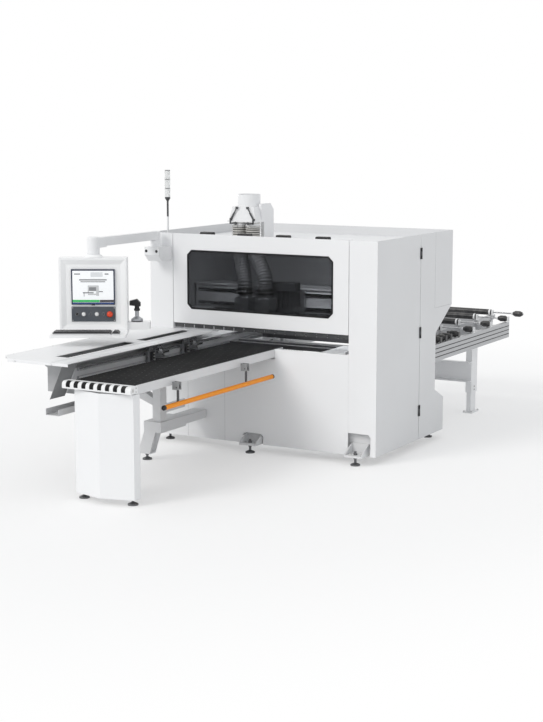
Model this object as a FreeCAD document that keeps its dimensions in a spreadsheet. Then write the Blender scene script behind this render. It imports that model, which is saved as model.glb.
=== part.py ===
import FreeCAD, Part
import os
import re
import Sketcher

# A six sided drilling machine for panels: body, infeed table, gripper beam, pendant, dust unit
# and outfeed table.
# Millimetres. X runs left to right, Y along the feed, Z up.
# Datum corner: right front edge of the body at the floor.

SIZES = {
    # machine body
    "body_width": 2315, "top_depth": 1622, "waist_depth": 1255, "foot_depth": 1456, "rim_top": 1945,
    "skirt_low": 75, "kick_top": 385, "knee_high": 482, "waist_top": 1015, "shoulder_low": 1246,
    "rear_seam": 1225, "panel_skin": 3, "panel_seam": 0.6, "column_right": 268, "column_left": 245,
    "column_return": 57, "stiffener_high": 40, "lower_panel_top": 954, "roof_high": 1860, "overrun": 10,
    "running_gap": 0.4, "rib_low": 200, "table_cut": 862, "beam_cut": 690, "seam_one": 1521,
    "seam_two": 1916, "side_seam": 3, "waist_low": 700, "louvre_low": 620, "louvre_pitch": 42,
    "louvre_front": 420, "louvre_long": 260, "louvre_high": 12, "side_gap": 1, "header_high": 70,
    # foot notches and brackets
    "foot_middle": 1227, "foot_right": 171, "notch_wide": 214, "notch_high": 96, "corner_notch_wide": 217,
    "corner_notch_high": 195, "notch_corner": 24, "bracket_wide": 170, "bracket_plate": 18,
    "bracket_reach": 100, "gusset_skin": 10, "gusset_high": 85, "foot_front": 48,
    # levelling feet
    "foot_disc": 42, "foot_disc_high": 12, "foot_cone_high": 26, "stem_radius": 11, "nut_radius": 19,
    "nut_high": 16,
    # bed frame
    "frame_inset": 60, "tube_wide": 120, "tube_low": 130, "tube_high": 200, "post_wide": 200,
    "post_front": 500, "post_deep": 500, "post_top": 1190, "lower_beam_low": 420, "lower_beam_high": 180,
    "lower_beam_front": 640, "lower_beam_deep": 220, "bearer_high": 35, "bearer_wide": 45, "pad_high": 60,
    "post_inset": 55, "ring_back": 1440, "bearer_front": 150, "bearer_long": 1100, "bearer_left": 1625,
    "pad_first": 700, "pad_second": 1120, "lower_rail_left": 1560,
    # upper beam and rails
    "beam_front": 740, "beam_deep": 250, "beam_high": 215, "beam_wall": 16, "rail_deep": 24,
    "rail_high": 25, "rail_margin": 30, "rail_end": 40,
    # upper carriage and head
    "carriage_middle": 1290, "carriage_wide": 420, "carriage_plate": 20, "keeper_high": 14,
    "keeper_deep": 18, "hood_left": 1600, "hood_right": 1381, "hood_front": 430, "hood_deep": 140,
    "hood_top": 1334, "hood_high": 190, "hood_flare": 95, "hood_crown": 150, "hood_skin": 4,
    "spigot_high": 30, "spigot_radius": 62, "head_wide": 190, "head_front": 590, "head_deep": 96,
    "head_block_high": 75, "head_top": 1475, "head_middle": 1215, "spindle_radius": 9, "spindle_high": 170,
    "guide_high": 46, "drill_radius": 4, "drill_high": 144, "router_radius": 42, "router_nose": 26,
    "carriage_low": 1196, "hood_bar": 40, "head_clear": -130, "head_slide": 225, "router_low": 1225,
    "router_shaft": 10, "router_shaft_long": 60, "router_collet": 74, "router_bit": 90,
    # lower drilling unit
    "lower_middle": 1210, "lower_wide": 300, "lower_plate": 40, "lower_body_wide": 230,
    "lower_body_high": 130, "lower_spindle_high": 76, "lower_drill_high": 60,
    # infeed table
    "table_top": 950, "table_right": 1000, "table_wide": 583, "table_long": 2150, "table_rail_low": 879,
    "table_rail_wide": 25, "table_board": 18, "table_bevel": 5, "table_inside": 150, "cross_bar": 40,
    "leg_post": 58, "leg_left": 1564, "leg_wide": 558, "leg_fold": 70, "leg_ahead": 36, "leg_side": 84,
    "leg_low": 50, "leg_foot_back": 19, "leg_base": 60, "leg_foot_left": 1527, "leg_foot_right": 1061,
    "leg_tie": 400, "leg_tie_long": 60,
    # nose
    "nose_left": 1640, "nose_wide": 650, "nose_reach": 98, "nose_low": 890, "nose_radius": 33,
    "roller_first": 1582, "roller_pitch": 74.6, "roller_wide": 38, "axle_radius": 7, "bore_gap": 0.05,
    "pocket_gap": 0.6,
    # safety bar
    "bar_radius": 20, "bar_middle": 960, "bar_front": 1842, "bar_back": 111, "bar_high": 727,
    "bar_pivot_high": 862, "hanger_front": 1634, "hanger_back": 570, "hanger_wide": 26, "hanger_skin": 8,
    "pivot_radius": 6, "lug_skin": 8, "lug_high": 40, "lug_top": 905, "hanger_eye": 16,
    # gripper beam
    "beam_left": 2000, "grip_beam_wide": 270, "grip_beam_low": 790, "grip_beam_high": 210,
    "grip_beam_front": 1960, "grip_beam_back": 1235, "cover_left": 2360, "cover_right": 1640,
    "cover_front": 2165, "cover_top": 1068, "cover_skin": 6, "cover_inside": 100, "cover_corner": 120,
    "cover_flange": 20, "slot_one_left": 1964, "slot_one_wide": 124, "slot_one_front": 1900,
    "slot_one_long": 964, "slot_two_left": 1938, "slot_two_wide": 103, "slot_two_front": 800,
    "slot_two_long": 760, "bumper_radius": 9, "bumper_long": 10, "support_skin": 12, "bellows_high": 16,
    "bellows_low": 1022, "strip_high": 3, "strip_wide": 22, "grip_rail_one": 905, "grip_rail_two": 975,
    "guard_skin": 4, "guard_long": 192, "guard_top_x": 1687, "guard_low_x": 1823, "guard_low": 769,
    "trough_wide": 125, "trough_low": 645, "trough_high": 51, "trough_long": 1240,
    "trough_front": 2180, "strap_wide": 46, "strap_low": 652, "slot_room": 158, "outrigger_start": 200,
    "outrigger_pitch": 560, "strip_first": 1812, "strip_second": 1700, "bumper_first": 2169,
    "bumper_second": 1806, "strap_high": 178,
    # grippers
    "grip_front_middle": 860, "grip_rear_middle": 320, "grip_long": 200, "grip_plate": 22,
    "grip_body_wide": 50, "grip_low": 890, "grip_high": 150, "jaw_reach": 74, "jaw_skin": 5, "jaw_wide": 90,
    "jaw_pad_high": 18, "jaw_post": 18, "jaw_rise": 1, "jaw_open": 35, "jaw_slide_high": 64,
    # bed extension
    "step_right": 1700, "step_wide": 180, "step_front": 777, "step_low": 258, "step_high": 95,
    "step_post_wide": 80, "step_post_deep": 96, "step_post_front": 751, "step_post_right": 1720,
    "brace_drop": 70, "brace_high": 64, "brace_reach": 190, "port_radius": 26, "port_pitch": 150,
    "port_plate_low": 425, "port_plate_high": 80, "gusset_reach": 120, "step_foot": 1880,
    "step_foot_line": 729, "step_long": 397, "brace_low": 490,
    # outfeed table
    "out_rail_right": 45, "out_rail_wide": 40, "rail_gap": 2, "out_rail_high": 160, "out_front": 1130,
    "out_back": 3274, "out_left": 1700, "out_groove": 9, "out_groove_deep": 6, "inner_rail": 400,
    "inner_wide": 36, "inner_high": 44, "inner_back": 3788, "inner_left": 1540,
    "row_radius": 31, "shaft_radius": 8, "wheel_wide": 104, "wheel_middle": 108,
    "wheel_cone": 26, "holder_wide": 14, "holder_deep": 44, "row_one": 3694, "row_two": 3256,
    "row_three": 2775, "row_four": 2314, "exit_first": 1503, "exit_second": 1626, "exit_third": 1745,
    "exit_fourth": 1938, "cross_deep": 54, "out_leg_wide": 64, "out_leg_deep": 147, "out_leg_front": 2689,
    "out_leg_inner": 9, "out_leg_joint": 210, "out_plate": 14, "out_tie_low": 328, "out_tie_high": 203,
    "out_tie_deep": 70, "out_tie_wall": 8, "cross_high": 60, "out_leg_left": 279, "exit_yoke": 8,
    # front door
    "door_top": 1944, "door_low": 1126, "door_gap": 5, "door_deep": 36, "window_left": 1909,
    "window_wide": 1481, "window_low": 1264, "window_high": 529, "window_chamfer": 42, "glass_skin": 5,
    "glass_lap": 24, "pivot_back": 30, "pivot_high": 1925, "pin_radius": 8, "barrel_radius": 15,
    "ear_skin": 8, "hinge_wide": 115, "hinge_first": 1756, "hinge_pitch": 394, "hinge_base": 60,
    "hinge_back": 76, "header_wall": 50, "hinge_crest": 1957, "barrel_half": 30,
    # side door
    "side_door_seam": 897, "side_hinge_high": 100, "side_hinge_wide": 20, "side_hinge_radius": 7,
    "side_hinge_low": 294, "side_hinge_pitch": 716.5, "side_hinge_leaf": 5, "side_door_flange": 26,
    # tower light
    "tower_inset": 130, "tower_y": 100, "tower_pole": 9, "tower_socket_low": 2225, "tower_lamp_low": 2262,
    "tower_lamp_high": 246, "tower_radius": 25, "tower_foot": 60, "tower_foot_high": 8, "tower_band": 5,
    # pendant
    "mount_inset": 74, "mount_wide": 156, "mount_deep": 203, "mount_low": 1693, "mount_high": 132,
    "mount_chamfer": 60, "neck_inset": 125, "neck_y": 100, "neck_radius": 46, "arm_long": 950, "arm_high": 78,
    "arm_low": 1885, "arm_deep": 64, "elbow_long": 84, "elbow_grow": 8, "post_radius": 54, "post_low": 1800,
    "post_rise": 172, "flare_radius": 84, "flare_high": 26, "console_turn": 29.6,
    # console
    "console_wide": 580, "console_high": 632, "console_low": 1167, "console_front": 80, "console_back": 60,
    "bezel_wide": 58, "bezel_deep": 16, "screen_wide": 372, "screen_high": 304, "screen_low": 230,
    "screen_skin": 14, "plate_wide": 376, "plate_high": 128, "plate_low": 84, "plate_skin": 6,
    "tray_wide": 640, "tray_deep": 250, "tray_skin": 22, "tray_shift": 24, "button_pitch": 56,
    "button_radius": 15, "button_line": 148, "button_travel_room": 9, "button_bore_gap": 0.3,
    "knob_radius": 11, "stop_radius": 26, "stop_rise": 26, "ledge_wide": 190, "ledge_high": 62,
    "ledge_deep": 120, "ledge_low": 14, "keyboard_wide": 490, "keyboard_deep": 150, "keyboard_high": 20,
    "key_gap": 3, "key_high": 7, "mouse_long": 104, "mouse_wide": 62, "mouse_high": 32, "bezel_rim": 16,
    "button_first": -140, "button_sunk": 4, "button_length": 22, "lamp_radius": 11, "lamp_rise": 4,
    "stop_neck": 20, "knob_grip": 8, "knob_rise": 14, "tray_margin": 22, "key_margin": 12,
    # scanner
    "stand_radius": 50, "stand_high": 46, "stand_neck": 17, "stand_rise": 46, "cup_radius": 26,
    "cup_high": 20, "scanner_long": 92, "scanner_wide": 62, "scanner_high": 62, "scanner_grip": 20,
    "scanner_grip_high": 34, "cup_floor": 6,
    # dust unit on the roof
    "collar_radius": 105, "collar_x": 1664, "collar_y": 690, "collar_low": 2165, "collar_high": 112,
    "collar_wall": 4, "funnel_low": 2034, "funnel_wide": 290, "funnel_deep": 250, "adaptor_high": 44,
    "duct_one_x": 1735, "duct_two_x": 1592, "duct_y": 632, "dust_box_room": 9, "dust_box_ahead": 145,
    "dust_box_deep": 228, "dust_box_chamfer": 60, "dust_box_gap": 8, "hood_rim": 12,
    "strut_radius": 9, "strut_low_reach": 122, "strut_top_reach": 58, "strut_rod": 5, "strut_bracket": 22,
    "funnel_floor": 20, "adaptor_radius": 65, "adaptor_lip": 8, "dust_box_top": 2190,
   
    # hoses
    "hose_rib": 5, "hose_cuff": 64, "hose_room": 5, "hose_radius": 70, "hose_bore": 62,
    "hose_bend_one": 1800, "hose_still_one": 1440, "hose_bend_two": 1850, "hose_still_two": 1480,
    # inside the feed opening
    "strip_gap": 8, "strip_skin": 3, "strip_hang": 29, "strip_back": 16, "strip_rail_high": 12,
    "bar_wide": 60, "fence_left": 560, "fence_wide": 255, "fence_front": 14, "fence_long": 470,
    "fence_lip": 26, "bar_one": 260, "bar_two": 420, "bar_three": 860, "bar_four": 1020, "bar_five": 1180,
    "fence_skin": 3,
}

DERIVED = {
    "x_left": "-(neck_x + console_wide/2*cos(console_turn) + console_back*sin(console_turn))",
    "frame_x": "(x_left + 2*side_hinge_radius)/2",
    "frame_y": "(inner_back - leg_front - leg_fold)/2",
    "beam_right": "beam_left - grip_beam_wide",
    "frame_top": "tube_low + tube_high",
    "post_left": "body_width - frame_inset/2 + door_gap",
    "post_right": "post_inset + post_wide",
    "beam_top": "post_top + beam_high",
    "lower_beam_top": "lower_beam_low + lower_beam_high",
    "inside_left": "body_width - panel_skin",
    "bar_low": "table_top - bearer_high",
    "bearer_low": "bar_low - bearer_high",
    "bracket_top": "skirt_low + bracket_plate",
    "table_left": "table_right + table_wide",
    "board_right": "table_right + table_bevel + side_gap",
    "board_left": "table_left - table_bevel - side_gap",
    "nose_front": "table_long + nose_reach",
    "nose_axis_y": "nose_front - nose_radius",
    "nose_axis_z": "table_top - nose_radius",
    "cover_low": "cover_top - cover_skin",
    "grip_beam_top": "grip_beam_low + grip_beam_high",
    "step_top": "step_low + step_high",
    "row_high": "table_top - row_radius",
    "out_rail_top": "table_top - 2*row_radius - rail_gap",
    "out_rail_low": "out_rail_top - out_rail_high",
    "inner_low": "out_rail_top - inner_high",
    "leg_front": "table_long + leg_ahead",
    "leg_foot_line": "table_long - leg_foot_back",
    "trough_left": "beam_right + trough_wide",
    "tower_x": "body_width - tower_inset",
    "mount_left": "body_width - mount_inset",
    "neck_x": "body_width - neck_inset",
    "notch_top": "skirt_low + notch_high",
    "corner_notch_top": "skirt_low + corner_notch_high",
    "header_top": "roof_high + header_high",
    "hood_low": "hood_top - hood_high",
    "carriage_spigot_top": "hood_top + spigot_high",
    "head_low": "head_top - head_block_high",
    "guide_top": "head_low - spindle_high",
    "guide_low": "guide_top - guide_high",
    "drill_tip": "guide_low - drill_high",
    "post_base": "console_low + console_high + flare_high + running_gap",
    "post_top_high": "post_low + post_rise",
    "console_floor": "-(console_front - bezel_deep)",
    "panel_face": "console_floor - plate_skin",
}

LOUVRES = 7
CROSS_BARS = 6
NOSE_WHEELS = 8
OUTRIGGERS = 4
LONG_FOLDS = 26
SHORT_FOLDS = 20
TOWER_LAMPS = 3
ROOF_HINGES = 4
SIDE_HINGES = 3
STRIPS = 17
RAIL_GROOVES = 3
DRILL_PAIRS = 4
HOSE_RIBS = 8
KEY_SHARES = [[1.25, 1.25, 1.25, 6, 1.25, 1.25, 1.25, 3.5], [2, 1, 1, 1, 1, 1, 1, 1, 1, 1, 1, 2, 3],
              [1.5, 1, 1, 1, 1, 1, 1, 1, 1, 1, 1, 2.5, 3], [1, 1, 1, 1, 1, 1, 1, 1, 1, 1, 1, 1, 2, 3],
              [1, 1, 1, 1, 1, 1, 1, 1, 1, 1, 1, 1, 1, 1, 1, 1, 1]]
RIB_SHARES = [(0, 0), (0.25, 0), (0.4, 1), (0.85, 1)]

FUNCTION_NAMES = {"sin", "cos", "tan", "sqrt", "abs", "min", "max"}
WORD = re.compile(r"[A-Za-z_]\w*")

doc = FreeCAD.newDocument("drilling_machine")
sheet = doc.addObject("Spreadsheet::Sheet", "Sizes")
for row, (alias, number) in enumerate(SIZES.items(), 1):
    sheet.set(f"A{row}", alias)
    sheet.set(f"B{row}", str(number))
    sheet.setAlias(f"B{row}", alias)
doc.recompute()

nodes = {}
places = {}
counter = {"made": 0}


def linked(text):
    """Spell an expression in named sizes out to cells of the sheet."""
    def one(match):
        word = match.group(0)
        if word in FUNCTION_NAMES:
            return word
        if word in DERIVED:
            return "(" + linked(DERIVED[word]) + ")"
        if word not in SIZES:
            raise NameError(word)
        return "Sizes." + word
    return WORD.sub(one, str(text))


def value(text):
    return float(sheet.evalExpression(linked(text)))


def new(kind, stem):
    counter["made"] += 1
    return doc.addObject(kind, f"{stem}_{counter['made']}")


def put(thing, x="0", y="0", z="0", axis="z"):
    """Place a thing at a point given in named sizes, its own Z turned along an axis."""
    turns = {
        "z": FreeCAD.Rotation(),
        "x": FreeCAD.Rotation(FreeCAD.Vector(0, 1, 0), 90),
        "y": FreeCAD.Rotation(FreeCAD.Vector(1, 0, 0), -90),
        "-y": FreeCAD.Rotation(FreeCAD.Vector(1, 0, 0), 90),
        "-z": FreeCAD.Rotation(FreeCAD.Vector(1, 0, 0), 180),
    }
    thing.Placement = FreeCAD.Placement(FreeCAD.Vector(), turns[axis])
    places[thing.Name] = (x, y, z)
    for letter, text in zip("xyz", (x, y, z)):
        thing.setExpression(f"Placement.Base.{letter}", linked(text))
    return thing


def box(x, y, z, wide, deep, high):
    block = new("Part::Box", "box")
    block.setExpression("Length", linked(wide))
    block.setExpression("Width", linked(deep))
    block.setExpression("Height", linked(high))
    return put(block, x, y, z)


def rod(x, y, z, axis, radius, length):
    bar = new("Part::Cylinder", "rod")
    bar.setExpression("Radius", linked(radius))
    bar.setExpression("Height", linked(length))
    return put(bar, x, y, z, axis)


def hexagon(x, y, z, axis, radius, length):
    """Six sided bar or nut, its radius taken to the corners."""
    bar = new("Part::Prism", "hexagon")
    bar.Polygon = 6
    bar.setExpression("Circumradius", linked(radius))
    bar.setExpression("Height", linked(length))
    return put(bar, x, y, z, axis)


def cone(x, y, z, axis, first, second, length):
    taper = new("Part::Cone", "cone")
    taper.setExpression("Radius1", linked(first))
    taper.setExpression("Radius2", linked(second))
    taper.setExpression("Height", linked(length))
    return put(taper, x, y, z, axis)


def joined(pieces):
    weld = new("Part::MultiFuse", "weld")
    weld.Shapes = pieces
    weld.Refine = True
    return weld


def less(base, tools):
    """Cut tools away from a base."""
    rest = new("Part::Cut", "cut")
    rest.Base = base
    rest.Tool = tools[0] if len(tools) == 1 else joined(tools)
    rest.Refine = True
    return rest


def group(pieces):
    gathered = new("Part::Compound", "group")
    gathered.Links = pieces
    return gathered


def tube(x, y, z, axis, radius, wall, length):
    """Open pipe whose bore runs past both ends."""
    shift = {"x": ("-overrun", "0", "0"), "y": ("0", "-overrun", "0"), "z": ("0", "0", "-overrun")}[axis]
    bore = [f"{a} + ({b})" for a, b in zip((x, y, z), shift)]
    return less(rod(x, y, z, axis, radius, length),
                [rod(*bore, axis, f"{radius} - {wall}", f"{length} + 2*overrun")])


def sketch_on(body, role, loops):
    """Sketch of closed loops whose corners are bound to the sheet."""
    sketch = body.newObject("Sketcher::SketchObject", f"{body.Name}_sketch")
    plane = next(face for face in body.Origin.OriginFeatures if face.Role == role)
    sketch.AttachmentSupport = (plane, [""])
    sketch.MapMode = "FlatFace"
    first = 0
    bound = []
    for loop in loops:
        count = len(loop)
        corners = [FreeCAD.Vector(value(across), value(up), 0) for across, up in loop]
        sketch.addGeometry([Part.LineSegment(corners[k], corners[(k + 1) % count]) for k in range(count)],
                           False)
        for k in range(count):
            sketch.addConstraint(Sketcher.Constraint("Coincident", first + k, 2, first + (k + 1) % count, 1))
        for k, (across, up) in enumerate(loop):
            for kind, text, number in (("DistanceX", across, corners[k].x), ("DistanceY", up, corners[k].y)):
                index = sketch.addConstraint(Sketcher.Constraint(kind, -1, 1, first + k, 1, number))
                bound.append((index, text))
        first += count
    for index, text in bound:
        sketch.setExpression(f"Constraints[{index}]", linked(text))
    return sketch


def plate(view, start, depth, outline, holes=()):
    """Body padded from an outline: view xz runs back along Y, yz to the right along X, xy up along Z."""
    body = new("PartDesign::Body", "plate")
    role = {"xz": "XZ_Plane", "yz": "YZ_Plane", "xy": "XY_Plane"}[view]
    sketch = sketch_on(body, role, [outline, *holes])
    pad = body.newObject("PartDesign::Pad", f"{body.Name}_pad")
    pad.Profile = sketch
    pad.setExpression("Length", linked(depth))
    pad.Reversed = view == "xz"
    body.Tip = pad
    where = {"xz": ("0", start, "0"), "yz": (start, "0", "0"), "xy": ("0", "0", start)}[view]
    return put(body, *where)


def rounded(body, radius, along, pick=lambda middle: True):
    """Fillet the straight edges of a body that run along an axis."""
    doc.recompute()
    base = body.Tip
    names = []
    for number, edge in enumerate(base.Shape.Edges, 1):
        ends = edge.Vertexes
        if len(ends) != 2 or edge.Curve.TypeId != "Part::GeomLine":
            continue
        run = (ends[1].Point - ends[0].Point).normalize()
        if abs(abs(getattr(run, along)) - 1) < 1e-6 and pick(edge.CenterOfMass):
            names.append(f"Edge{number}")
    fillet = body.newObject("PartDesign::Fillet", f"{body.Name}_fillet")
    fillet.Base = (base, names)
    fillet.setExpression("Radius", linked(radius))
    body.Tip = fillet
    return body


def turned(x, y, z, axis, profile):
    """Body turned about its own Z from a profile of radius and height pairs."""
    body = new("PartDesign::Body", "turned")
    sketch = sketch_on(body, "XZ_Plane", [profile])
    spin = body.newObject("PartDesign::Revolution", f"{body.Name}_spin")
    spin.Profile = sketch
    spin.ReferenceAxis = (sketch, ["V_Axis"])
    spin.Angle = 360
    body.Tip = spin
    return put(body, x, y, z, axis)


def rect(left, low, wide, high):
    right = f"{left} + {wide}"
    top = f"{low} + {high}"
    return [(left, low), (right, low), (right, top), (left, top)]


def node(name, thing, turn=None, at=None):
    """Name a finished sub-part and move it from the datum corner to the part's own frame."""
    thing.Label = name
    if at is None:
        x, y, z = places.get(thing.Name, ("0", "0", "0"))
    else:
        x, y, z = at
    if turn is not None:
        thing.Placement = FreeCAD.Placement(FreeCAD.Vector(), FreeCAD.Rotation(FreeCAD.Vector(0, 0, 1), 1))
        thing.setExpression("Placement.Rotation.Angle", linked(turn))
    thing.setExpression("Placement.Base.x", linked(f"{x} - (frame_x)"))
    thing.setExpression("Placement.Base.y", linked(f"{y} - (frame_y)"))
    thing.setExpression("Placement.Base.z", linked(z))
    nodes[name] = thing


def bed_frame():
    """Welded base ring, side posts, lower beam, bearers and the foot brackets in front."""
    left = "-(body_width - frame_inset)"
    side_long = "ring_back - frame_inset - 2*tube_wide"
    pieces = [
        box(left, "frame_inset", "tube_low", "body_width - 2*frame_inset", "tube_wide", "tube_high"),
        box(left, "ring_back - tube_wide", "tube_low", "body_width - 2*frame_inset", "tube_wide",
            "tube_high"),
        box(left, "frame_inset + tube_wide", "tube_low", "tube_wide", side_long, "tube_high"),
        box("-(frame_inset + tube_wide)", "frame_inset + tube_wide", "tube_low", "tube_wide", side_long,
            "tube_high"),
        box("-post_left", "post_front", "frame_top", "post_wide", "post_deep", "post_top - frame_top"),
        box("-post_right", "post_front", "frame_top", "post_wide", "post_deep", "post_top - frame_top"),
        box("-(post_left - post_wide)", "lower_beam_front", "lower_beam_low",
            "post_left - post_wide - post_right",
            "lower_beam_deep", "lower_beam_high"),
        box("-(post_right + bearer_wide)", "bearer_front", "bearer_low", "bearer_wide", "bearer_long",
            "bearer_high"),
        box("-bearer_left", "bearer_front", "bearer_low", "bearer_wide", "bearer_long", "bearer_high"),
        box("-bearer_left", "lower_beam_front", "lower_beam_top", "bearer_wide", "2*bearer_wide",
            "bearer_low - lower_beam_top"),
        box("-(beam_left - bearer_wide)", "lower_beam_front", "lower_beam_top",
            "grip_beam_wide - 2*bearer_wide",
            "lower_beam_deep", "grip_beam_low - lower_beam_top"),
    ]
    for low in ("pad_first", "pad_second"):
        pieces.append(box("-post_inset", "side_door_seam + overrun", low, "post_inset - panel_skin",
                          "pad_high",
                          "pad_high"))
        pieces.append(box("-inside_left", "side_door_seam + overrun", low, "inside_left - post_left",
                          "pad_high",
                          "pad_high"))
    holes = []
    for foot in ("foot_middle", "foot_right"):
        edge = f"-({foot} + bracket_wide/2)"
        pieces.append(box(edge, "-bracket_reach", "skirt_low", "bracket_wide", "bracket_reach + frame_inset",
                          "bracket_plate"))
        pieces.append(box(edge, "frame_inset - gusset_skin", "bracket_top", "bracket_wide", "gusset_skin",
                          "gusset_high"))
        for side in (edge, f"-({foot} - bracket_wide/2 + gusset_skin)"):
            pieces.append(plate("yz", side, "gusset_skin", [
                ("-(bracket_reach - gusset_skin)", "bracket_top"), ("frame_inset - gusset_skin",
                                                                    "bracket_top"),
                ("frame_inset - gusset_skin", "bracket_top + gusset_high"),
                ("-(bracket_reach - gusset_skin)", "bracket_top + gusset_skin")]))
        holes.append(rod(f"-{foot}", "-foot_front", "skirt_low - overrun", "z", "stem_radius + running_gap",
                         "bracket_plate + 2*overrun"))
    node("bed_frame", less(joined(pieces), holes))


def levelling_feet():
    """Feet with a threaded stem and a nut under what they carry, some passing through a bracket."""
    rear = "ring_back - tube_wide/2"
    left = "-(body_width - frame_inset - tube_wide/2)"
    through = "skirt_low + bracket_plate + 2*nut_high"
    feet = []
    for x, y, seat, top in (
            ("-foot_middle", "-foot_front", "skirt_low", through), ("-foot_right", "-foot_front",
                                                                    "skirt_low", through),
            (left, "frame_inset + tube_wide/2", "tube_low", "tube_low"), (left, rear, "tube_low",
                                                                          "tube_low"),
            ("-foot_middle", rear, "tube_low", "tube_low"),
            ("-(frame_inset + tube_wide/2)", rear, "tube_low", "tube_low"),
            ("-leg_foot_left", "-leg_foot_line", "leg_base", "leg_base"),
            ("-leg_foot_right", "-leg_foot_line", "leg_base", "leg_base"),
            ("-step_foot", "-step_foot_line", "leg_base", "leg_base")):
        stem = turned(x, y, "0", "z", [
            ("0", "0"), ("foot_disc", "0"), ("foot_disc", "foot_disc_high"), ("stem_radius",
                                                                              "foot_cone_high"),
            ("stem_radius", top), ("0", top)])
        nuts = [hexagon(x, y, f"{seat} - nut_high", "z", "nut_radius", "nut_high")]
        if top == through:
            nuts.append(hexagon(x, y, "bracket_top", "z", "nut_radius", "nut_high"))
        feet.append(joined([stem, *nuts]))
    node("levelling_feet", group(feet))


def gantry_beam():
    """Box beam on the posts, with a ledge over the front rail."""
    beam = box("-post_left", "beam_front", "post_top", "post_left - post_inset", "beam_deep", "beam_high")
    core = box("-post_left - overrun", "beam_front + beam_wall", "post_top + beam_wall",
               "post_left - post_inset + 2*overrun", "beam_deep - 2*beam_wall", "beam_high - 2*beam_wall")
    ledge = box("-post_left", "beam_front - rail_deep", "beam_top", "post_left - post_inset",
                "beam_deep + rail_deep",
                "beam_wall")
    node("gantry_beam", joined([less(beam, [core]), ledge]))


def linear_rails():
    """Profiled rails of the upper heads, the lower heads and the grippers."""
    long = "post_left - post_inset - 2*rail_end"
    rails = [box("-(post_left - rail_end)", "beam_front - rail_deep", low, long, "rail_deep", "rail_high")
             for low in ("post_top + rail_margin", "beam_top - rail_margin - rail_high")]
    for front in ("lower_beam_front + rail_margin",
                  "lower_beam_front + lower_beam_deep - rail_margin - rail_deep"):
        rails.append(box("-(lower_rail_left)", front, "lower_beam_top",
                         "lower_rail_left - post_right - rail_end",
                         "rail_deep", "rail_high"))
    for low in ("grip_rail_one", "grip_rail_two"):
        rails.append(box("-beam_right", "-(grip_beam_front - rail_margin)", low, "rail_deep",
                         "grip_beam_front + grip_beam_back - 2*rail_margin", "rail_high"))
    node("linear_rails", group(rails))


def front_columns():
    """Folded sheet columns each side of the front door, the right one notched over its foot."""
    left_front = plate("xz", "0", "panel_skin", rect("-body_width", "skirt_low", "column_left",
                                                     "rim_top - skirt_low"))
    left_fold = box("-(body_width - column_left) - panel_skin", "panel_skin", "skirt_low", "panel_skin",
                    "column_return", "rim_top - skirt_low")
    right_front = plate("xz", "0", "panel_skin", [
        ("-column_right", "corner_notch_top"), ("-(column_right - corner_notch_wide) - notch_corner",
                                                "corner_notch_top"),
        ("-(column_right - corner_notch_wide)", "corner_notch_top - notch_corner"),
        ("-(column_right - corner_notch_wide)", "skirt_low"), ("0", "skirt_low"), ("0", "rim_top"),
        ("-column_right", "rim_top")])
    right_fold = box("-column_right", "panel_skin", "corner_notch_top", "panel_skin", "column_return",
                     "rim_top - corner_notch_top")
    node("front_columns", group([joined([left_front, left_fold]), joined([right_front, right_fold])]))


def front_lower_panel():
    """Three skirt panels under the feed opening, with an arch over the foot and room for the beam."""
    edge = "-(column_right + panel_seam)"
    left_edge = "-(body_width - column_left - panel_seam)"
    arch_left = "-(foot_middle + notch_wide/2)"
    arch_right = "-(foot_middle - notch_wide/2)"
    right = [(edge, "skirt_low"), (edge, "lower_panel_top"), ("-table_right", "lower_panel_top"),
             ("-table_right", "table_cut"), ("-seam_one", "table_cut"), ("-seam_one", "skirt_low"),
             (arch_left, "skirt_low"), (arch_left, "notch_top - notch_corner"),
             (f"{arch_left} + notch_corner", "notch_top"), (f"{arch_right} - notch_corner", "notch_top"),
             (arch_right, "notch_top - notch_corner"), (arch_right, "skirt_low")]
    middle = [("-(seam_one + panel_seam)", "skirt_low"), ("-(seam_one + panel_seam)", "table_cut"),
              ("-cover_right", "table_cut"), ("-cover_right", "beam_cut"), ("-seam_two", "beam_cut"),
              ("-seam_two", "skirt_low")]
    left = [("-(seam_two + panel_seam)", "skirt_low"), ("-(seam_two + panel_seam)", "beam_cut"),
            (left_edge, "beam_cut"), (left_edge, "skirt_low")]
    sheets = []
    for outline, first, last in ((right, "seam_one", "foot_middle + notch_wide"), (middle, "seam_two",
                                                                                   "seam_one"),
                                 (left, "-(" + left_edge + ")", "seam_two")):
        rib = box(f"-({first}) + 2*overrun", "panel_skin", "rib_low", f"({first}) - ({last}) - 3*overrun",
                  "frame_inset - panel_skin", "stiffener_high")
        sheets.append(joined([plate("xz", "0", "panel_skin", outline), rib]))
    extra = box("-(foot_middle - notch_wide)", "panel_skin", "rib_low",
                "foot_middle - notch_wide - column_right - corner_notch_wide/4", "frame_inset - panel_skin",
                "stiffener_high")
    sheets[0].Shapes = [*sheets[0].Shapes, extra]
    node("front_lower_panel", group(sheets))


def side_outline(front):
    return [(front, "skirt_low"), ("foot_depth", "skirt_low"), ("foot_depth", "kick_top"),
            ("waist_depth", "knee_high"), ("waist_depth", "waist_top"), ("top_depth", "shoulder_low"),
            ("top_depth", "shoulder_low + panel_skin"), ("rear_seam", "shoulder_low + panel_skin"),
            ("rear_seam", "rim_top"), (front, "rim_top")]


def side_panels():
    """Left side sheet with louvre slots, and the fixed rear part of the right side."""
    slots = []
    for k in range(LOUVRES):
        low = f"louvre_low + {k}*louvre_pitch"
        slots.append(rect("louvre_front", low, "louvre_long", "louvre_high"))
    node("left_side_panel", plate("yz", "-body_width", "panel_skin", side_outline("panel_skin"), slots))
    node("right_side_panel", plate("yz", "-panel_skin", "panel_skin",
                                   side_outline("side_door_seam + side_seam")))


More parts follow.
